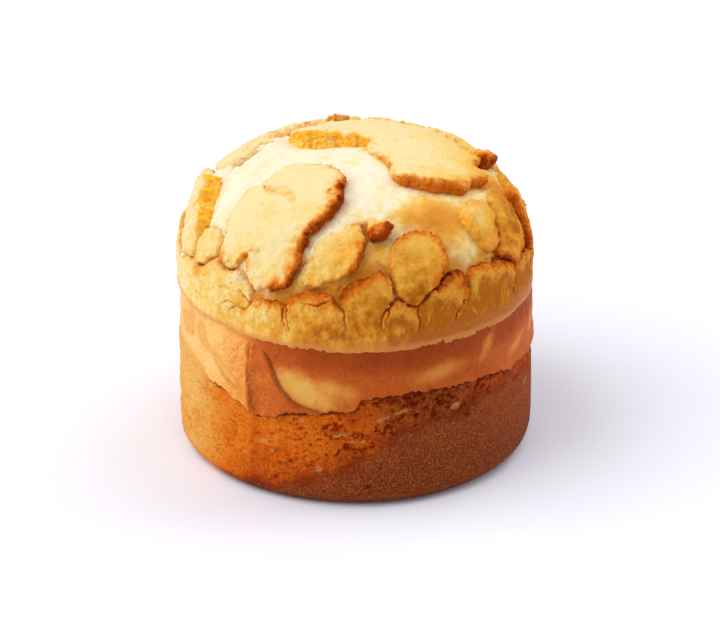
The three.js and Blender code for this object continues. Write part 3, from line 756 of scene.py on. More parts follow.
def make_dough():
    """The crown's dough: rings from the top out to the widest ring, then the bulge's underside."""
    xs = [np.array([0.0])]
    ys = [np.array([0.0])]
    for k in range(1, DOUGH_RINGS + 1):
        turn = 2 * math.pi * np.arange(6 * k) / (6 * k)
        distance = CROWN_REACH * k / DOUGH_RINGS
        xs.append(distance * np.sin(turn))
        ys.append(-distance * np.cos(turn))
    x = np.concatenate(xs)
    y = np.concatenate(ys)
    first, second, curled = around_plates(x, y)
    share = crust_depth(x, y) / CRUST
    hollow = (CRUST - DOUGH_NEAR) * (1 - np.exp(-curled / 0.9)) * (1 - smooth(first, 1, 9))
    narrow = np.exp(-np.maximum(first + second, 0) / 2.2) * smooth(first, -3.5, -1.5)
    frayed = np.exp(-np.maximum(first, 0) / 1.4)
    swell = PUFF * smooth(first, 0, 9)
    for cx, cy, radius, mm in SWELLS:
        swell = swell + mm * mound(x, y, cx, cy, radius)
    bumps = 0.3 * noise(x, y, 12, 301) + 0.12 * noise(x, y, 4.5, 304)
    bumps = bumps + (0.05 + 0.2 * frayed) * noise(x, y, 1.6, 302)
    height = (-DOUGH_NEAR - hollow + swell + bumps) * share - 0.8 * narrow * smooth(share, -0.2, 0.3)
    points = [on_crown(x, y, np.minimum(height, 0.2))]

    faces = []
    start = 1
    previous = np.array([0])
    for k in range(1, DOUGH_RINGS + 1):
        ring = np.arange(start, start + 6 * k)
        if k == 1:
            faces.append(np.stack([np.zeros(6, int), ring, np.roll(ring, -1)], -1))
        else:
            faces.append(ring_between(previous, ring))
        previous = ring
        start += 6 * k

    columns = 6 * DOUGH_RINGS
    around = 2 * math.pi * np.arange(columns) / columns
    low = lip_height(around)
    rows = []
    for z_share in (0.15, 0.3, 0.45, 0.6, 0.8, 1.0):
        z = CROWN_EQUATOR + (low + LIP_ROUND - CROWN_EQUATOR) * z_share
        rows.append((CROWN_RADIUS + 0.05 * z_share, z))
    for degrees in (18, 36, 54, 72, 90, 110):
        turn = math.radians(degrees)
        r = CROWN_RADIUS + 0.05 - LIP_ROUND * (1 - math.cos(turn))
        rows.append((r, low + LIP_ROUND * (1 - math.sin(turn))))
    rows.append((CROWN_RADIUS - RIM_OVERHANG - 2.5, low + 0.8))
    lips = [smooth(np.hypot(x, y), CROWN_REACH - 3, CROWN_REACH) * 0.35]
    for r, z in rows:
        z = z + 0 * around
        fade = smooth(CROWN_EQUATOR - z, 0, 1.5)
        s, z = side_places(around, z)
        wobble = 0.3 * side_noise(s, z, 3.0, 303) + 0.2 * side_noise(s, z, 1.1, 305)
        wobble = fade * (wobble + 0.3 * side_noise(s, z, 9.0, 309))
        swell = crown_swell(CROWN_RADIUS * np.sin(around), -CROWN_RADIUS * np.cos(around), z)
        points.append(round_ring(around, r + swell + wobble, z))
        lips.append(0.35 + 0.65 * smooth(CROWN_EQUATOR - z, 0, CROWN_EQUATOR - RIM_HEIGHT - 1.2))
        ring = np.arange(start, start + columns)
        faces.append(np.stack([previous, ring, np.roll(ring, -1), np.roll(previous, -1)], -1))
        previous = ring
        start += columns
    points.append(np.array([[0, 0, RIM_HEIGHT + 2]]))
    faces.append(np.stack([previous, np.full(columns, start), np.roll(previous, -1)], -1))
    extra = len(rows) * columns + 1
    bake = bake_and_shade_at(x, y)
    golden = np.zeros(x.shape)
    for cx, cy, radius, much in GOLDEN:
        golden = np.maximum(golden, much * mound(x, y, cx, cy, radius))
    # Half of the crown's colour value goes in, and with it its painted shade to the right.
    golden = golden + 0.5 * bake + 0.16 * noise(x, y, 8, 306) + 0.14 * noise(x, y, 2.8, 307)
    warmed = 0.3 + 0.7 * smooth(bake, 0.02, 0.25)
    # Narrow cracks between plates are painted brown: partly browning, partly painted shade in the cracks.
    seam = (narrow + 0.3 * noise(x, y, 2.2, 308)) * (0.35 + 0.65 * share) * warmed
    # Dough beside the plates is painted golden: partly browning, partly painted warm light bounced from them.
    beside = np.exp(-np.maximum(first, 0) / 1.3) * share * smooth(first, -2.5, -0.8)
    rim_bake_and_shade = bake_and_shade_at(CROWN_REACH * np.sin(around), -CROWN_REACH * np.cos(around))
    values = {
        "bake": np.concatenate([bake, np.tile(rim_bake_and_shade, len(rows)), [0]]),
        "golden": padded(golden, extra),
        "beside": padded(beside, extra),
        "seam": padded(seam, extra),
        "cover": padded(smooth(1 - share, 0.3, 0.9), extra, 1.0),
        "lip": np.append(np.concatenate(lips), 1),
        "crumbly": padded(0.16 * frayed * share * (1 - narrow), extra),
    }
    return make_mesh("crown_dough", np.concatenate(points), faces, values)


def ring_between(low, high):
    """Triangles between a ring and the next one, which has six points more."""
    side = len(high) // 6
    corner = np.repeat(np.arange(6), side)
    step = np.tile(np.arange(side), 6)
    inner = low[(corner * (side - 1) + step) % len(low)]
    outer = high[corner * side + step]
    ahead = high[(corner * side + step + 1) % len(high)]
    outward = np.stack([inner, outer, ahead], -1)
    has_next = step < side - 1
    inner_next = low[(corner * (side - 1) + step + 1) % len(low)]
    inward = np.stack([inner, ahead, inner_next], -1)[has_next]
    return np.concatenate([outward, inward])


# ---------------------------------------------------------------- the side


def side_radius(around, z, offset):
    """The mould's radius, a little uneven, with the ridge that its seam left."""
    x = BODY_RADIUS * np.sin(around)
    y = -BODY_RADIUS * np.cos(around)
    aside = BODY_RADIUS * round_from(around, math.radians(SEAM_AT))
    along = smooth(z, BASE_ROUND, 2 * BASE_ROUND) * (1 - smooth(z, RIM_HEIGHT - 4, RIM_HEIGHT))
    ridge = SEAM_HEIGHT * np.exp(-((aside / SEAM_WIDTH) ** 2)) * along
    swell = 0.6 * SWELL * ripple(x, y, z, 38, 2) * smooth(z, 0, BASE_ROUND)
    return BODY_RADIUS + offset + ridge + swell


def flush_share(around):
    """Where, at the left, the skin runs into the porous band without a lap."""
    degrees = np.degrees(round_from(around))
    return smooth(degrees, -116, -98) * (1 - smooth(degrees, -62, -47))


# Folds where the skin creased against the mould: points (degrees round from the front, height), the
# step's height, how far the raised side reaches and how wide the step is, in mm. The raised side is on
# the left, walking along.
FOLDS = (
    (((-9, 35), (-14, 35.8), (-19.5, 37.2), (-23.8, 41), (-26.3, 45), (-28.2, 50.8), (-32.5, 55.8)),
     1.1, 8, 0.6),
    (((-33.2, 30), (-35, 35), (-35.6, 42), (-36, 50), (-36.8, 58)), 1.1, 2.6, 0.9),
    (((-58, 55), (-52.8, 47), (-46.2, 40.6), (-39, 37)), 0.9, 4, 1.4),
    (((-50, 50), (-46, 53), (-43.5, 57.5)), 0.4, 3.5, 1.0),
    (((-43, 45), (-41, 50), (-40.5, 57)), 0.35, 3, 1.0),
    (((-27.5, 50), (-26, 54), (-25.5, 57)), 0.3, 2, 0.6),
    (((38, 44), (43.5, 47.5), (48, 52), (50, 57)), 0.6, 4, 0.8),
    (((54, 48), (60, 50.5), (66, 55)), 0.5, 4, 0.8),
    (((70, 44), (75, 49), (77, 56)), 0.4, 4, 0.8),
    (((96, 42), (103, 46), (108, 56)), 0.7, 7, 0.6),
    (((128, 45), (132, 50), (133, 57)), 0.4, 4, 0.8),
    (((150, 42), (158, 47), (160, 57)), 0.8, 7, 0.6),
    (((-140, 44), (-150, 49), (-152, 57)), 0.8, 7, 0.6),
    (((-118, 47), (-122, 52), (-123, 57)), 0.4, 3, 0.8),
)

# Pale hollows where the skin stood off the mould: degrees, height, half-length, half-height, tilt and
# how pale.
PALE = (
    (-17, 42.5, 16, 6.5, -0.3, 1.0), (-9, 43.5, 12, 4.0, -0.1, 0.7), (27, 47.2, 12, 3.6, 0.12, 0.5),
    (46.5, 51, 7, 2.8, 0.9, 0.55), (-45.5, 42, 11, 2.6, -0.66, 0.9), (-58, 50, 7, 3.4, -0.7, 0.8),
    (-70, 50, 8, 5, 0.2, 0.8), (64, 44.5, 8, 2.6, 0.3, 0.5), (82, 46, 9, 4, 0.3, 0.6),
    (118, 48, 10, 4, -0.2, 0.8), (143, 50, 6, 3, 0.4, 0.7), (166, 46, 9, 4, 0.2, 0.9),
    (-128, 46, 9, 4, -0.3, 0.9), (-160, 48, 10, 4, 0.2, 0.8), (-85, 48, 8, 4, 0.3, 0.8),
)


def fold_at(around, z, corners):
    """Signed distance from a fold's line, positive on its left, and how much of it is there."""
    s, z = side_places(around, z)
    line = np.array([(BODY_RADIUS * math.radians(a), h) for a, h in corners])
    s = s + 0.35 * side_noise(s, z, 2.4, 420)
    best = np.full(s.shape, 1e9)
    side = np.zeros(s.shape)
    along = np.zeros(s.shape)
    total = len(line) - 1
    for k in range(total):
        (ax, ay), (bx, by) = line[k], line[k + 1]
        length = math.hypot(bx - ax, by - ay)
        ux, uy = (bx - ax) / length, (by - ay) / length
        t = np.clip(((s - ax) * ux + (z - ay) * uy) / length, 0, 1)
        dx = s - ax - t * length * ux
        dy = z - ay - t * length * uy
        distance = np.hypot(dx, dy)
        nearer = distance < best
        best = np.where(nearer, distance, best)
        side = np.where(nearer, ux * dy - uy * dx, side)
        along = np.where(nearer, (k + t) / total, along)
    taper = smooth(along, 0, 0.12) * (1 - smooth(along, 0.88, 1))
    return np.where(side > 0, best, -best), taper


def fold_relief(around, z):
    """The folds' relief: raised along the left of each line and falling away from there. Also how near
    a point is to the foot of a fold, 0 to 1, by which the skin is painted darker as painted shade."""
    relief = np.zeros(around.shape)
    foot = np.zeros(around.shape)
    for corners, step, reach, width in FOLDS:
        signed, taper = fold_at(around, z, corners)
        lap = smooth(signed, -width / 2, width / 2) * np.exp(-np.maximum(signed, 0) / reach)
        relief = relief + step * taper * lap
        near = np.exp(-np.abs(signed + width / 2) / (0.3 + 0.5 * width))
        foot = np.maximum(foot, near * taper * min(step / 0.8, 1) * min(0.6 / width, 1))
    return relief, foot


def pale_share(around, z):
    """How pale the skin is in its hollows. The raised side of the first fold stays brown."""
    s, z = side_places(around, z)
    share = np.zeros(s.shape)
    for degrees, height, long, tall, tilt, much in PALE:
        off = BODY_RADIUS * round_from(around, math.radians(degrees))
        rise = z - height
        u = (off * math.cos(tilt) + rise * math.sin(tilt)) / long
        v = (rise * math.cos(tilt) - off * math.sin(tilt)) / tall
        ragged = np.hypot(u, v) + 0.2 * side_noise(s, z, 5, 421) + 0.12 * side_noise(s, z, 1.8, 422)
        share = np.maximum(share, much * (1 - smooth(ragged, 0.0, 1.5)))
    signed, taper = fold_at(around, z, FOLDS[0][0])
    return share * (1 - 0.85 * taper * smooth(signed, -0.2, 0.4) * (1 - smooth(signed, 4, 9)))


def round_ring(around, r, z):
    """Points round the bread's axis, anticlockwise from the front as seen from above."""
    return np.stack([r * np.sin(around), -r * np.cos(around), z + 0 * around], -1)


PORES = 760  # small pits
CREVICES = 60  # longer ones, all of them within 12 mm under the lap
PIT_SEED = 71

# Wider, shallow pits of the band with pale floors: direction in degrees round from the front, height,
# half-length and half-width.
SPOTS = (
    (-30.5, 21, 2.6, 1.3), (-27.5, 18.5, 1.6, 1.0), (-5, 27, 4.2, 1.1), (-1, 24.5, 2.0, 0.9),
    (9, 32.5, 3.6, 1.0), (15, 34.5, 3.2, 0.8), (2, 24.5, 1.6, 0.8), (-18, 31, 1.8, 0.9),
    (-38, 15, 1.0, 0.8), (-41, 22, 1.2, 1.0), (-50, 24, 1.3, 1.0), (34, 33, 2.6, 1.3),
    (-12, 14, 1.6, 1.8), (74, 26, 3.0, 1.0), (110, 24, 3.5, 1.0), (150, 28, 3.0, 1.0),
    (-160, 24, 3.5, 1.0), (-115, 28, 3.0, 1.0), (-80, 22, 2.5, 1.0), (-95, 40, 2.0, 1.2),
)
SPOT_SLANT = 0.25

# Below this line the band is fine and even: degrees round from the front, and height.
SANDY_LINE = (
    (-180, 8), (-60, 1), (-35, 4), (-15, 11), (0, 18), (10, 26), (25, 30), (60, 37), (100, 20), (180, 8),
)


def sandy_share(around, z):
    """Where the band is fine and even: 1 well below the line and 0 well above it."""
    degrees = np.degrees(round_from(around))
    line = np.interp(degrees, [row[0] for row in SANDY_LINE], [row[1] for row in SANDY_LINE])
    s, z = side_places(around, z)
    above = z - line - 2.5 * side_noise(s, z, 10, 518) - 2.0 * side_noise(s, z, 4.5, 517)
    return 1 - smooth(above, -4.5, 4.0)


def pit_places():
    """Pits of the band, and of the skin where it has no lap: (turn, height, half-length, half-width,
    slant, depth). The order of the draws settles where they all are."""
    random = np.random.default_rng(PIT_SEED)
    places = []
    while len(places) < PORES:
        turn = random.uniform(0, 2 * math.pi)
        z = random.uniform(*PIT_HEIGHTS)
        here = np.array([turn])
        lap = lap_height(here)[0] - 0.5
        lap = lap + (51 - lap) * flush_share(here)[0]
        if z > lap or random.uniform() < 0.93 * sandy_share(here, np.array([z]))[0]:
            continue
        width = 0.25 + 0.8 * random.uniform() ** 4
        length = width * random.uniform(1, 1.7)
        places.append((turn, z, length, width, random.uniform(-0.7, 0.7), 0.9 * width))
    while len(places) < PORES + CREVICES:
        turn = random.uniform(0, 2 * math.pi)
        here = np.array([turn])
        z = lap_height(here)[0] - 0.8 - 11 * random.uniform() ** 1.5
        if random.uniform() < 0.9 * sandy_share(here, np.array([z]))[0]:
            continue
        if random.uniform() < flush_share(here)[0]:
            continue
        width = random.uniform(0.3, 0.6)
        places.append((turn, z, width * random.uniform(2, 5), width, random.uniform(-0.1, 0.6), 0.7))
    return places


def stamped(around, heights, places):
    """The depth of pits on a grid of points round the side."""
    columns = len(around)
    depth = np.zeros(heights.shape)
    row_height = heights.mean(1)
    for index, (turn, z, long, short, slant, deep) in enumerate(places):
        rows = np.where(np.abs(row_height - z) < 3 * short + 7.5)[0]
        if not len(rows):
            continue
        half = int((long * 1.4 + 1) / (2 * math.pi * BODY_RADIUS / columns)) + 1
        middle = int(round(turn / (2 * math.pi) * columns))
        window = np.ix_(rows, np.arange(middle - half, middle + half + 1) % columns)
        near = around[window[1][0]]
        off = BODY_RADIUS * round_from(near, turn)[None, :]
        rise = heights[window] - z
        u = (off * math.cos(slant) + rise * math.sin(slant)) / long
        v = (rise * math.cos(slant) - off * math.sin(slant)) / short
        d = np.hypot(u, v) * (1 + 0.5 * noise(off + 9 * index, rise, 1.1, 500))
        depth[window] = np.maximum(depth[window], deep * (1 - smooth(d, 0.1, 1.4)))
    return depth


# How dark the side's colour is, 0 to 1, at directions in degrees round from the front: (direction, skin,
# band). It is partly browning and partly painted light: palest at the left, where the key lamp falls, and
# darker away from it, most at the front right.
SIDE_BROWNING_AND_SHADE = (
    (-180, 0.5, 0.6), (-120, 0.2, 0.25), (-85, 0.02, 0.04), (-60, 0.04, 0.1), (-48, 0.08, 0.3),
    (-38, 0.24, 0.44), (-34, 0.44, 0.46), (-26, 0.48, 0.42), (-12, 0.5, 0.48), (0, 0.54, 0.62),
    (14, 0.56, 0.84), (31, 0.56, 0.88), (60, 0.48, 0.72), (110, 0.52, 0.7), (150, 0.5, 0.65),
    (180, 0.5, 0.6),
)


def side_tone(around, z, column, low, mottling):
    """How dark the skin (column 1 of the table of browning and shade above) or the band (column 2) is,
    darker low down by as much as low."""
    s, z = side_places(around, z)
    ats = [row[0] for row in SIDE_BROWNING_AND_SHADE]
    # This tone is partly painted light: palest where the key lamp falls, on the left.
    toasted = np.interp(np.degrees(s / BODY_RADIUS), ats, [row[column] for row in SIDE_BROWNING_AND_SHADE])
    mottled = side_noise(s, z, 11, 430) + 0.7 * side_noise(s, z, 3.6, 431) + 0.6 * side_noise(s, z, 1.4, 432)
    deeper = low * (1 - smooth(z, 2, 24)) * clear_of_left(s, -62, -10) + 0.25 * (1 - smooth(z, 0, 8))
    return np.clip(toasted + mottling * mottled + deeper, 0, 1.2)


OPEN_SLANT = math.radians(22)  # the way the band's open places run, rising to the right


def open_crumb(s, z):
    """Where the band's crumb is open: ragged holes a millimetre or two across and short cracks that
    join them, in slanting runs, 0 to 1."""
    along = s * math.cos(OPEN_SLANT) + z * math.sin(OPEN_SLANT)
    across = z * math.cos(OPEN_SLANT) - s * math.sin(OPEN_SLANT)
    where = noise(along / 2.2, across, 4.2, 513) + 0.6 * noise(s, z, 11, 514)
    holes = noise(s, 1.25 * z, 2.0, 515) + 0.7 * noise(s, z, 1.0, 516)
    cracks = np.abs(noise(along / 1.6, across, 2.6, 511) + 0.5 * noise(s, z, 1.1, 512))
    found = smooth(holes + 0.6 * where, 0.3, 0.7)
    return np.maximum(found, (1 - smooth(cracks, 0.0, 0.16)) * smooth(where, 0.05, 0.4))


def make_skin(places):
    """The smoother skin: a closed ring from under the crown's bulge to its edge over the band."""
    around = 2 * math.pi * np.arange(SIDE_COLUMNS) / SIDE_COLUMNS
    s, level = side_places(around, 0 * around)
    flush = flush_share(around)
    teeth = 0.9 * side_noise(s, level, 4.1, 401) + 0.8 * side_noise(s, level, 1.7, 402)
    edge = lap_height(around) + teeth
    top = RIM_HEIGHT + 1.2
    count = int((top - edge.min()) / SIDE_STEP)
    shares = np.arange(count + 1)[:, None] / count
    z = top + (edge + LAP_ROUND - top) * shares
    wide = np.broadcast_to(around, z.shape)
    s, z = side_places(wide, z)
    tucked = (CROWN_RADIUS - BODY_RADIUS - RIM_OVERHANG) * smooth(z, RIM_HEIGHT - 9, RIM_HEIGHT)
    swollen = 0.6 * (1 - smooth(z - edge, 0, 6)) * (1 - flush)
    thinned = -0.8 * flush * (1 - smooth(z - edge - 1.5 * side_noise(s, z, 3, 405), 0.5, 4.5))
    relief, foot = fold_relief(wide, z)
    pale = pale_share(wide, z)
    # The 0.25 more, just under the crown's bulge at the front and right, is painted shade under the bulge.
    tone = side_tone(wide, z, 1, 0, 0.07) + 0.25 * smooth(z, 47, 54) * clear_of_left(s, -32, -12)
    streaks = 0.3 * side_noise(s, z / 5, 1.5, 406) * smooth(z, 44, 56)
    streaks = streaks * smooth(side_noise(s, z / 2, 11, 407), -0.1, 0.5)
    bumps = 0.2 * side_noise(s, z, 7.0, 403) + 0.12 * side_noise(s, z, 2.8, 404)
    bumps = bumps + 0.05 * side_noise(s, z, 1.1, 408)
    pits = stamped(around, z, places) * flush * (1 - smooth(z, 47, 53))
    radius = side_radius(wide, z, tucked + swollen + thinned + bumps + streaks) + relief - 0.45 * pale - pits
    points = [round_ring(around, radius[k], z[k]) for k in range(count + 1)]
    for degrees in (22, 45, 68, 90, 120):
        turn = math.radians(degrees)
        lower = edge + LAP_ROUND - LAP_ROUND * math.sin(turn)
        points.append(round_ring(around, radius[-1] - LAP_ROUND * (1 - math.cos(turn)), lower))
    for r, lower in ((SKIN_BACK + 0.5, edge + 1.5), (SKIN_BACK, RIM_HEIGHT - 4), (SKIN_BACK, top)):
        points.append(round_ring(around, r, lower))
    rows = len(points)
    ring = np.arange(SIDE_COLUMNS)
    last = (rows - 1) * SIDE_COLUMNS + ring
    faces = [
        ring_faces(rows, SIDE_COLUMNS)[:, ::-1],
        np.stack([ring, np.roll(ring, -1), np.roll(last, -1), last], -1),
    ]
    rest = (rows - count - 1) * SIDE_COLUMNS
    values = {
        "tone": np.append(tone.ravel(), np.tile(tone[-1], rows - count - 1)),
        "pale": padded(pale, rest),
        # foot paints shade at the feet of the folds.
        "foot": padded(foot, rest),
        # The pits' depth also paints shade in them.
        "pit": padded(np.clip(pits, 0, 1), rest),
    }
    return make_mesh("moulded_skin", np.concatenate(points), faces, values)


def make_band(places):
    """The porous band and the base: from behind the skin down round the base's edge to its middle."""
    around = 2 * math.pi * np.arange(SIDE_COLUMNS) / SIDE_COLUMNS
    flush = flush_share(around)
    lap = lap_height(around)
    top = lap + 2.0 + 2.5 * flush
    count = int((top.max() - BASE_ROUND) / SIDE_STEP)
    radii, heights = [], []
    for k in range(count + 1):
        z = top + (BASE_ROUND - top) * k / count
        share = np.clip((z - BASE_ROUND) / (lap - BASE_ROUND), 0, 1.15)
        recess = BAND_RECESS * (1 - flush) * share**3 + 0.7 * flush * smooth(z - lap, 1.0, 4.5)
        radii.append(side_radius(around, z, -recess))
        heights.append(z)
    foot = BODY_RADIUS - BASE_ROUND
    for k in range(1, BASE_TURNS + 1):
        turn = math.pi / 2 * k / BASE_TURNS
        z = BASE_ROUND * (1 - math.sin(turn)) + 0 * around
        radii.append(side_radius(around, z, foot + BASE_ROUND * math.cos(turn) - BODY_RADIUS))
        heights.append(z)
    radii = np.array(radii)
    heights = np.array(heights)
    wide = np.broadcast_to(around, radii.shape)
    s, heights = side_places(wide, heights)
    sandy = sandy_share(wide, heights)
    upright = smooth(heights, 0.6, BASE_ROUND)
    pits = stamped(around, heights, places)
    spots = [(math.radians(a), z, long, short, SPOT_SLANT, 1.0) for a, z, long, short in SPOTS]
    floor = stamped(around, heights, spots)
    grain = 0.14 * side_noise(s, heights, 1.3, 501) + 0.24 * side_noise(s, heights, 2.3, 502)
    coarse = 0.34 * side_noise(s, heights, 6.0, 503)
    below = np.tile(lap, (len(radii), 1)) - heights
    holes = open_crumb(s, heights) * (1 - sandy) * clear_of_left(s, -40, -8) * (1 - flush)
    relief = ((grain + coarse) * (1 - 0.75 * sandy) + 0.08 * side_noise(s, heights, 1.0, 504)) * upright
    shown = smooth(below, -0.9, -0.2) * (1 - flush) + flush
    radii = radii + (relief - (pits + 0.55 * holes + 0.5 * floor) * upright) * shown
    # hollow is painted shade in the pits and the open crumb, half as much at the left.
    hollow = np.clip(np.maximum(pits, holes) - 1.1 * grain * (1 - 0.7 * sandy), 0, 1)
    hollow = hollow * (0.5 + 0.5 * clear_of_left(s, -50, -2))
    # porous sets how much painted highlight and shade speckle the open crumb.
    porous = (0.55 + 0.3 * side_noise(s, heights, 7, 519)) * (1 - sandy)
    # Just under the skin's lap the band is painted dark brown: painted shade under the lap.
    ragged = below + 0.5 * side_noise(s, heights, 1.6, 506)
    shade = (1 - smooth(ragged, 0.3, 1.8)) * (1 - flush)
    tone = side_tone(wide, heights, 2, 0.4, 0.09) - 0.1 * flush * smooth(heights, 12, 34)

    points = [round_ring(around, radii[k], heights[k]) for k in range(len(radii))]
    for k in range(1, BASE_RINGS):
        r = foot * (1 - k / BASE_RINGS)
        bumpy = noise(r * np.sin(around), r * np.cos(around), 4, 505)
        points.append(round_ring(around, r, BASE_HOLLOW + BASE_HOLLOW * bumpy))
    rows = len(points)
    bottom = rows * SIDE_COLUMNS
    points.append(np.array([[0, 0, BASE_HOLLOW], [0, 0, BAND_CORE]]))
    ring = np.arange(SIDE_COLUMNS)
    last = (rows - 1) * SIDE_COLUMNS + ring
    faces = [
        ring_faces(rows, SIDE_COLUMNS)[:, ::-1],
        np.stack([last, np.full(SIDE_COLUMNS, bottom), np.roll(last, -1)], -1),
        np.stack([ring, np.roll(ring, -1), np.full(SIDE_COLUMNS, bottom + 1)], -1),
    ]
    rest = bottom + 2 - radii.size
    values = {
        "tone": padded(tone, rest, 0.8),
        "pit": padded(hollow, rest),
        "spot": padded(floor, rest),
        "sandy": padded(sandy, rest),
        "porous": padded(porous, rest),
        "foot": padded(shade, rest),
    }
    return make_mesh("porous_band", np.concatenate(points), faces, values)


# ---------------------------------------------------------------- materials

MOTTLING = 0.35  # how far noise 1 mm across shifts a colour along its ramp
BUMP_STRENGTH = 0.8
NOISE_DETAIL = 3.0


def linear(hex_colour):
    """An sRGB hex colour as linear red, green, blue and alpha."""
    parts = [int(hex_colour[i:i + 2], 16) / 255 for i in (1, 3, 5)]
    return [p / 12.92 if p <= 0.04045 else ((p + 0.055) / 1.055) ** 2.4 for p in parts] + [1.0]


def add(tree, kind, inputs=None, stops=(), **settings):
    """Adds a node with its settings. inputs gives each socket, by name or number, a value, a hex
    colour, or a node or socket to link; a node stands for its first output in use. stops are a colour
    ramp's: (position, hex colour) in order."""
    node = tree.nodes.new(kind)
    for key, value in settings.items():
        setattr(node, key, value)
    for index, (position, colour) in enumerate(stops):
        ramp = node.color_ramp.elements
        element = ramp[index] if index < len(ramp) else ramp.new(position)
        element.position = position
        element.color = linear(colour)
    for key, value in (inputs or {}).items():
        if isinstance(key, int):
            socket = node.inputs[key]
        else:
            socket = next(s for s in node.inputs if s.enabled and s.name == key)
        if isinstance(value, bpy.types.Node):
            value = next(s for s in value.outputs if s.enabled)
        if isinstance(value, bpy.types.NodeSocket):
            tree.links.new(value, socket)
        else:
            is_colour = isinstance(value, str) and value.startswith("#")
            socket.default_value = linear(value) if is_colour else value
    return node


def per_mm(size):
    """The scale of a pattern on Object coordinates whose features are size mm across."""
    return 1 / (size * MM)


class Layer:
    """A colour laid over a surface by one of its piece's own values: none of it where the value is low
    and most of it where it is high. colour is sRGB hex, or (value, stops). grain is the size in mm of
    the noise that makes its edge ragged, and ragged how far."""

    def __init__(self, value, low, high, colour, most=1.0, grain=1.0, ragged=0.35, blend="MIX"):
        self.value = value
        self.low = low
        self.high = high
        self.colour = colour
        self.most = most
        self.grain = grain
        self.ragged = ragged
        self.blend = blend


def baked_surface(name, ground, layers, relief, depth, shader):
    """A material for a baked surface. ground is (value, stops): a colour for each amount of that value.
    relief is (size in mm, share) of the noises in its fine relief, which is depth mm high."""
    material = bpy.data.materials.new(name)
    material.use_nodes = True
    tree = material.node_tree
    tree.nodes.clear()
    place = add(tree, "ShaderNodeTexCoord").outputs["Object"]
    names = {ground[0]} | {layer.value for layer in layers}
    names |= {layer.colour[0] for layer in layers if isinstance(layer.colour, tuple)}
    values = {
        value: add(tree, "ShaderNodeAttribute", attribute_name=value).outputs["Fac"]
        for value in sorted(names)
    }
    sizes = {1.0} | {layer.grain for layer in layers} | {size for size, share in relief}
    grains = {
        size: add(tree, "ShaderNodeTexNoise",
                  {"Vector": place, "Scale": per_mm(size), "Detail": NOISE_DETAIL})
        for size in sorted(sizes)
    }

    colours = []
    for value, stops in [ground] + [layer.colour for layer in layers if isinstance(layer.colour, tuple)]:
        level = add(tree, "ShaderNodeMath", {0: grains[1.0], 1: MOTTLING, 2: -0.5 * MOTTLING},
                    operation="MULTIPLY_ADD")
        level = add(tree, "ShaderNodeMath", {0: level, 1: values[value]}, operation="ADD")
        colours.append(add(tree, "ShaderNodeValToRGB", {"Fac": level}, stops=stops))
    base = colours.pop(0)
    for layer in layers:
        level = add(tree, "ShaderNodeMath", {0: grains[layer.grain], 1: layer.ragged, 2: -0.5 * layer.ragged},
                    operation="MULTIPLY_ADD")
        level = add(tree, "ShaderNodeMath", {0: level, 1: values[layer.value]}, operation="ADD")
        reach = {"Value": level, "From Min": layer.low, "From Max": layer.high, "To Max": layer.most}
        share = add(tree, "ShaderNodeMapRange", reach, interpolation_type="SMOOTHSTEP")
        colour = colours.pop(0) if isinstance(layer.colour, tuple) else layer.colour
        base = add(tree, "ShaderNodeMix", {"Factor": share, "A": base, "B": colour},
                   data_type="RGBA", blend_type=layer.blend)

    height = 0.0
    for size, share in relief:
        height = add(tree, "ShaderNodeMath", {0: grains[size], 1: share, 2: height}, operation="MULTIPLY_ADD")
    bump = add(tree, "ShaderNodeBump", {"Height": height, "Strength": BUMP_STRENGTH, "Distance": depth * MM})
    surface = add(tree, "ShaderNodeBsdfPrincipled", {"Base Color": base, "Normal": bump, **shader})
    add(tree, "ShaderNodeOutputMaterial", {"Surface": surface})
    return material


# The crust's colours by its colour value, which holds painted shade to the right as well as browning.
CRUST_COLOURS = ("bake", (
    (0.0, "#F0DAA0"), (0.25, "#F3CC72"), (0.5, "#F0B042"), (0.75, "#DC8C22"), (1.0, "#B8620C"),
))


def crust_material():
    """Sugar-cookie crust, baked: pale butter yellow and a little granular, amber to brown where an
    edge stood up in the heat, and moist egg yellow where it tore. Painted shade darkens it to the right,
    away from the key lamp, and in its dents, tears, creases and hollows."""
    return baked_surface("sugar_cookie_crust", CRUST_COLOURS, (
        Layer("bake", 0.8, 1.4, "#C8741A", 0.3, grain=0.5, ragged=-2.4),
        # These layers hold browning and also the painted shade of dents, tears and creases.
        Layer("toast", 0.08, 0.45, "#EFA63A", 0.8),
        Layer("toast", 0.34, 0.8, "#DE7618"),
        Layer("toast", 0.72, 1.2, "#983A02"),
        Layer("torn", 0.15, 0.75, "#FFBA30", grain=0.8),
        Layer("torn", 0.6, 1.6, "#FFE88C", 0.6, grain=2.4, ragged=2.0),
        Layer("torn", 0.9, 1.7, "#F2901A", 0.7, grain=4.0, ragged=2.4),
    ), ((0.5, 0.6), (1.2, 0.5), (2.4, 0.5)), 0.45, {
        "Roughness": 0.6, "Specular IOR Level": 0.05,
        "Subsurface Weight": 0.1, "Subsurface Scale": 1.2 * MM,
    })


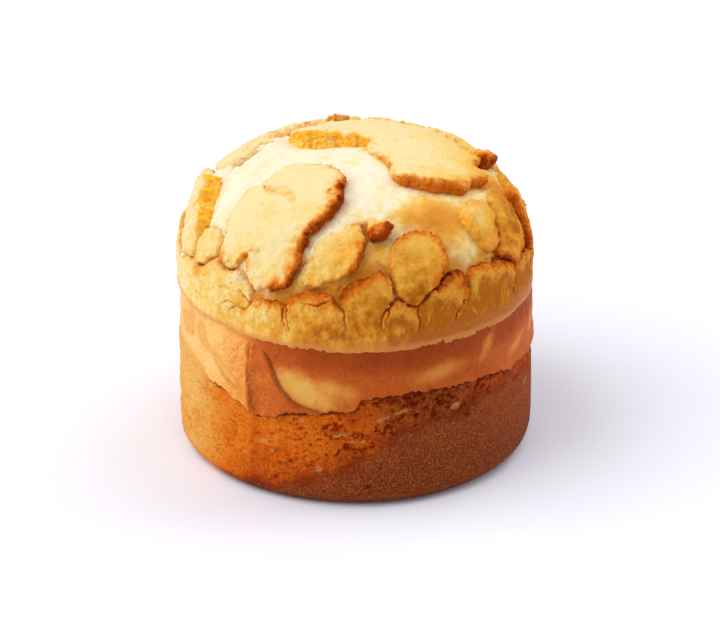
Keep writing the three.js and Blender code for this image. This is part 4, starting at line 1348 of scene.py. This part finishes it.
def dough_material():
    """Baked milk dough, set almost without browning: ivory, satin and soft, golden in patches, and a tan
    unbrowned band where it overhangs the side. Beside the plates it is painted golden, partly as warm
    light bounced from them, and in the narrow cracks brown, partly as painted shade."""
    return baked_surface("baked_milk_dough", ("golden", (
        (0.0, "#F4E7C8"), (0.25, "#F2D992"), (0.6, "#EEB044"), (1.0, "#DE8E22"),
    )), (
        # Partly painted warm light bounced from the plates.
        Layer("beside", 0.3, 1.0, "#E4A03C", 0.65),
        Layer("cover", 0.25, 0.75, CRUST_COLOURS, ragged=0.2),
        # Partly painted shade in the narrow cracks.
        Layer("seam", 0.4, 0.95, "#C4701E"),
        Layer("lip", 0.5, 1.0, "#D98C46", 0.7, grain=0.6, ragged=0.8),
    ), ((0.9, 0.5), (2.6, 0.5)), 0.3, {
        "Roughness": 0.5, "Specular IOR Level": 0.16,
        "Subsurface Weight": 0.12, "Subsurface Scale": 1.6 * MM,
    })


def skin_material():
    """Dough skin baked against the mould: smooth and orange-brown, butter yellow where it stood off.
    Painted shade darkens it at the feet of its folds, in its pits and under the crown's bulge, and it is
    paler at the left partly as painted light.
    """
    return baked_surface("moulded_bread_skin", ("tone", (
        (0.0, "#FBC878"), (0.22, "#F09C44"), (0.42, "#CE6422"), (0.65, "#B44C14"), (0.85, "#A0400E"),
        (1.0, "#8C320A"),
    )), (
        Layer("pale", 0.05, 0.5, "#E4923A", 0.6, ragged=0.15),
        Layer("pale", 0.35, 1.0, "#EAB458", 0.9, ragged=0.35),
        # Painted shade at the feet of the folds.
        Layer("foot", 0.1, 0.9, "#8A3206", 0.8),
        # Painted shade in the pits.
        Layer("pit", 0.15, 0.8, "#D08040", 0.9, blend="MULTIPLY"),
    ), ((0.5, 0.7), (1.0, 0.4), (3.0, 0.4)), 0.32, {
        "Roughness": 0.55, "Specular IOR Level": 0.08,
        "Subsurface Weight": 0.06, "Subsurface Scale": 1.0 * MM,
    })


def band_material():
    """Pan crust: coarse, open-pored and toasted orange, darker and sandy where it lay flat. It is paler at
    the left partly as painted light, with painted shade under the skin's lap and in its pits, and painted
    highlights and shade speckled over its open crumb.
    """
    return baked_surface("toasted_pan_crust", ("tone", (
        (0.0, "#F8B85E"), (0.2, "#F09432"), (0.42, "#E86E0A"), (0.62, "#C04A06"), (0.82, "#90320A"),
        (1.0, "#6C2006"),
    )), (
        Layer("sandy", 0.2, 0.9, "#80300A", 0.65),
        Layer("sandy", 0.8, 1.5, "#C87C46", 0.58, grain=0.5, ragged=2.6),
        # Light specks are painted highlights on the crumb's grains, dark specks painted shade in its fine
        # pores.
        Layer("porous", 0.2, 0.9, "#7A4410", 0.9, grain=1.1, ragged=2.2, blend="SCREEN"),
        Layer("porous", 0.8, 1.25, "#A85A28", 0.75, grain=0.7, ragged=-2.8, blend="MULTIPLY"),
        # Painted shade in the pits and the open crumb.
        Layer("pit", 0.05, 0.9, "#C08050", 0.9, grain=0.6, ragged=0.7, blend="MULTIPLY"),
        # Painted shade under the skin's lap.
        Layer("foot", 0.2, 0.9, "#6E2402", 0.85),
        Layer("spot", 0.15, 1.0, "#E6AC60", 0.5, grain=0.8, ragged=0.6),
    ), ((0.5, 0.6), (0.7, 1.0), (1.1, 0.6), (3.0, 0.3)), 1.0, {
        "Roughness": 0.62, "Specular IOR Level": 0.05,
        "Subsurface Weight": 0.05, "Subsurface Scale": 1.0 * MM,
    })


def floor_material():
    """White studio paper: matt and even."""
    material = bpy.data.materials.new("white_studio_paper")
    material.use_nodes = True
    tree = material.node_tree
    tree.nodes.clear()
    surface = add(tree, "ShaderNodeBsdfPrincipled", {"Base Color": "#F6F8FF", "Roughness": 0.8})
    add(tree, "ShaderNodeOutputMaterial", {"Surface": surface})
    return material


# ---------------------------------------------------------------- the bread


CRUST_CRUMBS = 1.1e6  # a square metre, where the edge is most crumbly
CRUMB_SIZES = (0.5, 1.1)  # the smallest and the largest, in mm
CRUMB_PUSH = 0.5  # how far a crumb's corners are pushed about
CRUMB_SEED = 5
ANY_TURN = (6.28, 6.28, 6.28)  # a whole turn about each axis


def dress(piece, material):
    """Gives a piece its material, unless its nodes did, hangs it on the root body and hides the part bread.
    """
    if not piece.data.materials:
        piece.data.materials.append(material)
    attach(piece, "root")
    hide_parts("bread")


def crumb_tree():
    """Scatters crumbs over the pieces of a collection, by their value crumbly: a lump of a few faces,
    turned and stretched by chance and pushed about a little."""
    tree = bpy.data.node_groups.new("scattered_crumbs", "GeometryNodeTree")
    tree.interface.new_socket("Pieces", in_out="INPUT", socket_type="NodeSocketCollection")
    for name in ("Crumbs per Square Metre", "Smallest", "Largest", "Unevenness"):
        tree.interface.new_socket(name, in_out="INPUT", socket_type="NodeSocketFloat")
    tree.interface.new_socket("Seed", in_out="INPUT", socket_type="NodeSocketInt")
    tree.interface.new_socket("Material", in_out="INPUT", socket_type="NodeSocketMaterial")
    tree.interface.new_socket("Geometry", in_out="OUTPUT", socket_type="NodeSocketGeometry")
    given = add(tree, "NodeGroupInput").outputs
    pieces = add(tree, "GeometryNodeCollectionInfo", {"Collection": given["Pieces"]})
    pieces = add(tree, "GeometryNodeRealizeInstances", {"Geometry": pieces})
    crumbly = add(tree, "GeometryNodeInputNamedAttribute", {"Name": "crumbly"}, data_type="FLOAT")
    density = add(tree, "ShaderNodeMath", {0: crumbly, 1: given["Crumbs per Square Metre"]},
                  operation="MULTIPLY")
    points = add(tree, "GeometryNodeDistributePointsOnFaces",
                 {"Mesh": pieces, "Density": density, "Seed": given["Seed"]})
    lump = add(tree, "GeometryNodeMeshIcoSphere", {"Radius": 0.5, "Subdivisions": 1})
    turn = add(tree, "FunctionNodeRandomValue", {"Max": ANY_TURN, "Seed": 1}, data_type="FLOAT_VECTOR")
    size = add(tree, "FunctionNodeRandomValue",
               {"Min": given["Smallest"], "Max": given["Largest"], "Seed": 2}, data_type="FLOAT")
    crumbs = add(tree, "GeometryNodeInstanceOnPoints",
                 {"Points": points.outputs["Points"], "Instance": lump, "Rotation": turn, "Scale": size})
    crumbs = add(tree, "GeometryNodeRealizeInstances", {"Geometry": crumbs})
    place = add(tree, "GeometryNodeInputPosition")
    waves = add(tree, "ShaderNodeTexNoise", {"Vector": place, "Scale": per_mm(0.8), "Detail": 0.0})
    push = add(tree, "ShaderNodeVectorMath", {0: waves.outputs["Color"], 1: (0.5, 0.5, 0.5)},
               operation="SUBTRACT")
    push = add(tree, "ShaderNodeVectorMath", {0: push, "Scale": given["Unevenness"]}, operation="SCALE")
    crumbs = add(tree, "GeometryNodeSetPosition", {"Geometry": crumbs, "Offset": push})
    crumbs = add(tree, "GeometryNodeSetMaterial", {"Geometry": crumbs, "Material": given["Material"]})
    add(tree, "NodeGroupOutput", {"Geometry": crumbs})
    return tree


def make_crumbs(name, pieces, density, sizes, seed, material):
    """Crumbs of one kind as a single mesh, scattered over these pieces. sizes are in mm."""
    holder = bpy.data.collections.new(name + "_ground")
    for piece in pieces:
        holder.objects.link(piece)
    crumbs = bpy.data.objects.new(name, bpy.data.meshes.new(name))
    bpy.context.scene.collection.objects.link(crumbs)
    tree = crumb_tree()
    modifier = crumbs.modifiers.new("crumbs", "NODES")
    modifier.node_group = tree
    inputs = {
        "Pieces": holder, "Crumbs per Square Metre": density, "Smallest": sizes[0] * MM,
        "Largest": sizes[1] * MM, "Unevenness": CRUMB_PUSH * MM, "Seed": seed, "Material": material,
    }
    for item in tree.interface.items_tree:
        if item.in_out == "INPUT":
            modifier[item.identifier] = inputs[item.name]
    bpy.context.view_layer.update()
    evaluated = crumbs.evaluated_get(bpy.context.evaluated_depsgraph_get())
    mesh = bpy.data.meshes.new_from_object(evaluated)
    crumbs.modifiers.remove(modifier)
    crumbs.data = mesh
    mesh.name = name
    bpy.data.collections.remove(holder)
    return crumbs


crust = crust_material()
dough = make_dough()
dress(dough, dough_material())
pits = pit_places()
dress(make_skin(pits), skin_material())
dress(make_band(pits), band_material())
plates = [make_plate(plate) for plate in PLATES]
for plate in plates:
    dress(plate, crust)
crumbs = make_crumbs("crust_crumbs", plates, CRUST_CRUMBS, CRUMB_SIZES, CRUMB_SEED, crust)
dress(crumbs, crust)

# ---------------------------------------------------------------- camera, floor and light

AIM = (1.4, -3.6, 42.5)  # what the camera looks at
ELEVATION = math.radians(26)  # how far above it the camera stands
DISTANCE = 1400.0
LENS = 205.3  # focal length in mm, on a sensor this wide
SENSOR = 36
CLIP_END = 20  # in metres
FLOOR_HALF = 6.0  # half the floor's side, in metres
LIGHTS_AIM = 0.05  # height that the lights look at, in metres
SKY_COLOUR = "#F4F6FF"
SKY_STRENGTH = 0.46


def make_camera():
    """The camera, in front of the bread and above it, level from side to side."""
    data = bpy.data.cameras.new("camera")
    data.lens = LENS
    data.sensor_width = SENSOR
    data.clip_end = CLIP_END
    camera = bpy.data.objects.new("camera", data)
    camera.location = [
        AIM[0] * MM,
        (AIM[1] - DISTANCE * math.cos(ELEVATION)) * MM,
        (AIM[2] + DISTANCE * math.sin(ELEVATION)) * MM,
    ]
    camera.rotation_euler = (math.pi / 2 - ELEVATION, 0, 0)
    bpy.context.scene.collection.objects.link(camera)
    bpy.context.scene.camera = camera


def make_floor():
    """The floor, which belongs to the studio and not to the bread."""
    mesh = bpy.data.meshes.new("floor")
    corners = [(x * FLOOR_HALF, y * FLOOR_HALF, 0) for x, y in ((-1, -1), (1, -1), (1, 1), (-1, 1))]
    mesh.from_pydata(corners, [], [(0, 1, 2, 3)])
    floor = bpy.data.objects.new("floor", mesh)
    mesh.materials.append(floor_material())
    bpy.context.scene.collection.objects.link(floor)


def make_light(name, azimuth, elevation, distance, size, watts, colour):
    """A square softbox that looks at the bread; azimuth is round from the front, towards +X, in degrees.
    distance and size are in metres."""
    data = bpy.data.lights.new(name, "AREA")
    data.shape = "SQUARE"
    data.size = size
    data.energy = watts
    data.color = linear(colour)[:3]
    light = bpy.data.objects.new(name, data)
    a, e = math.radians(azimuth), math.radians(elevation)
    light.location = (
        distance * math.cos(e) * math.sin(a),
        -distance * math.cos(e) * math.cos(a),
        LIGHTS_AIM + distance * math.sin(e),
    )
    light.rotation_euler = (math.pi / 2 - e, 0, a)
    bpy.context.scene.collection.objects.link(light)


def make_world():
    """Even, faintly cool light from all round."""
    world = bpy.data.worlds.new("studio")
    world.use_nodes = True
    background = world.node_tree.nodes["Background"]
    background.inputs["Color"].default_value = linear(SKY_COLOUR)
    background.inputs["Strength"].default_value = SKY_STRENGTH
    bpy.context.scene.world = world


make_camera()
make_floor()
make_light("key", azimuth=-74, elevation=50, distance=1.2, size=1.3, watts=12.7, colour="#FFFFFF")
make_light("back", azimuth=122, elevation=55, distance=1.3, size=1.0, watts=5.5, colour="#FFFFFF")
make_light("side", azimuth=100, elevation=20, distance=1.2, size=0.5, watts=2.4, colour="#FFFFFF")
make_world()
bpy.context.scene.view_settings.view_transform = "Standard"
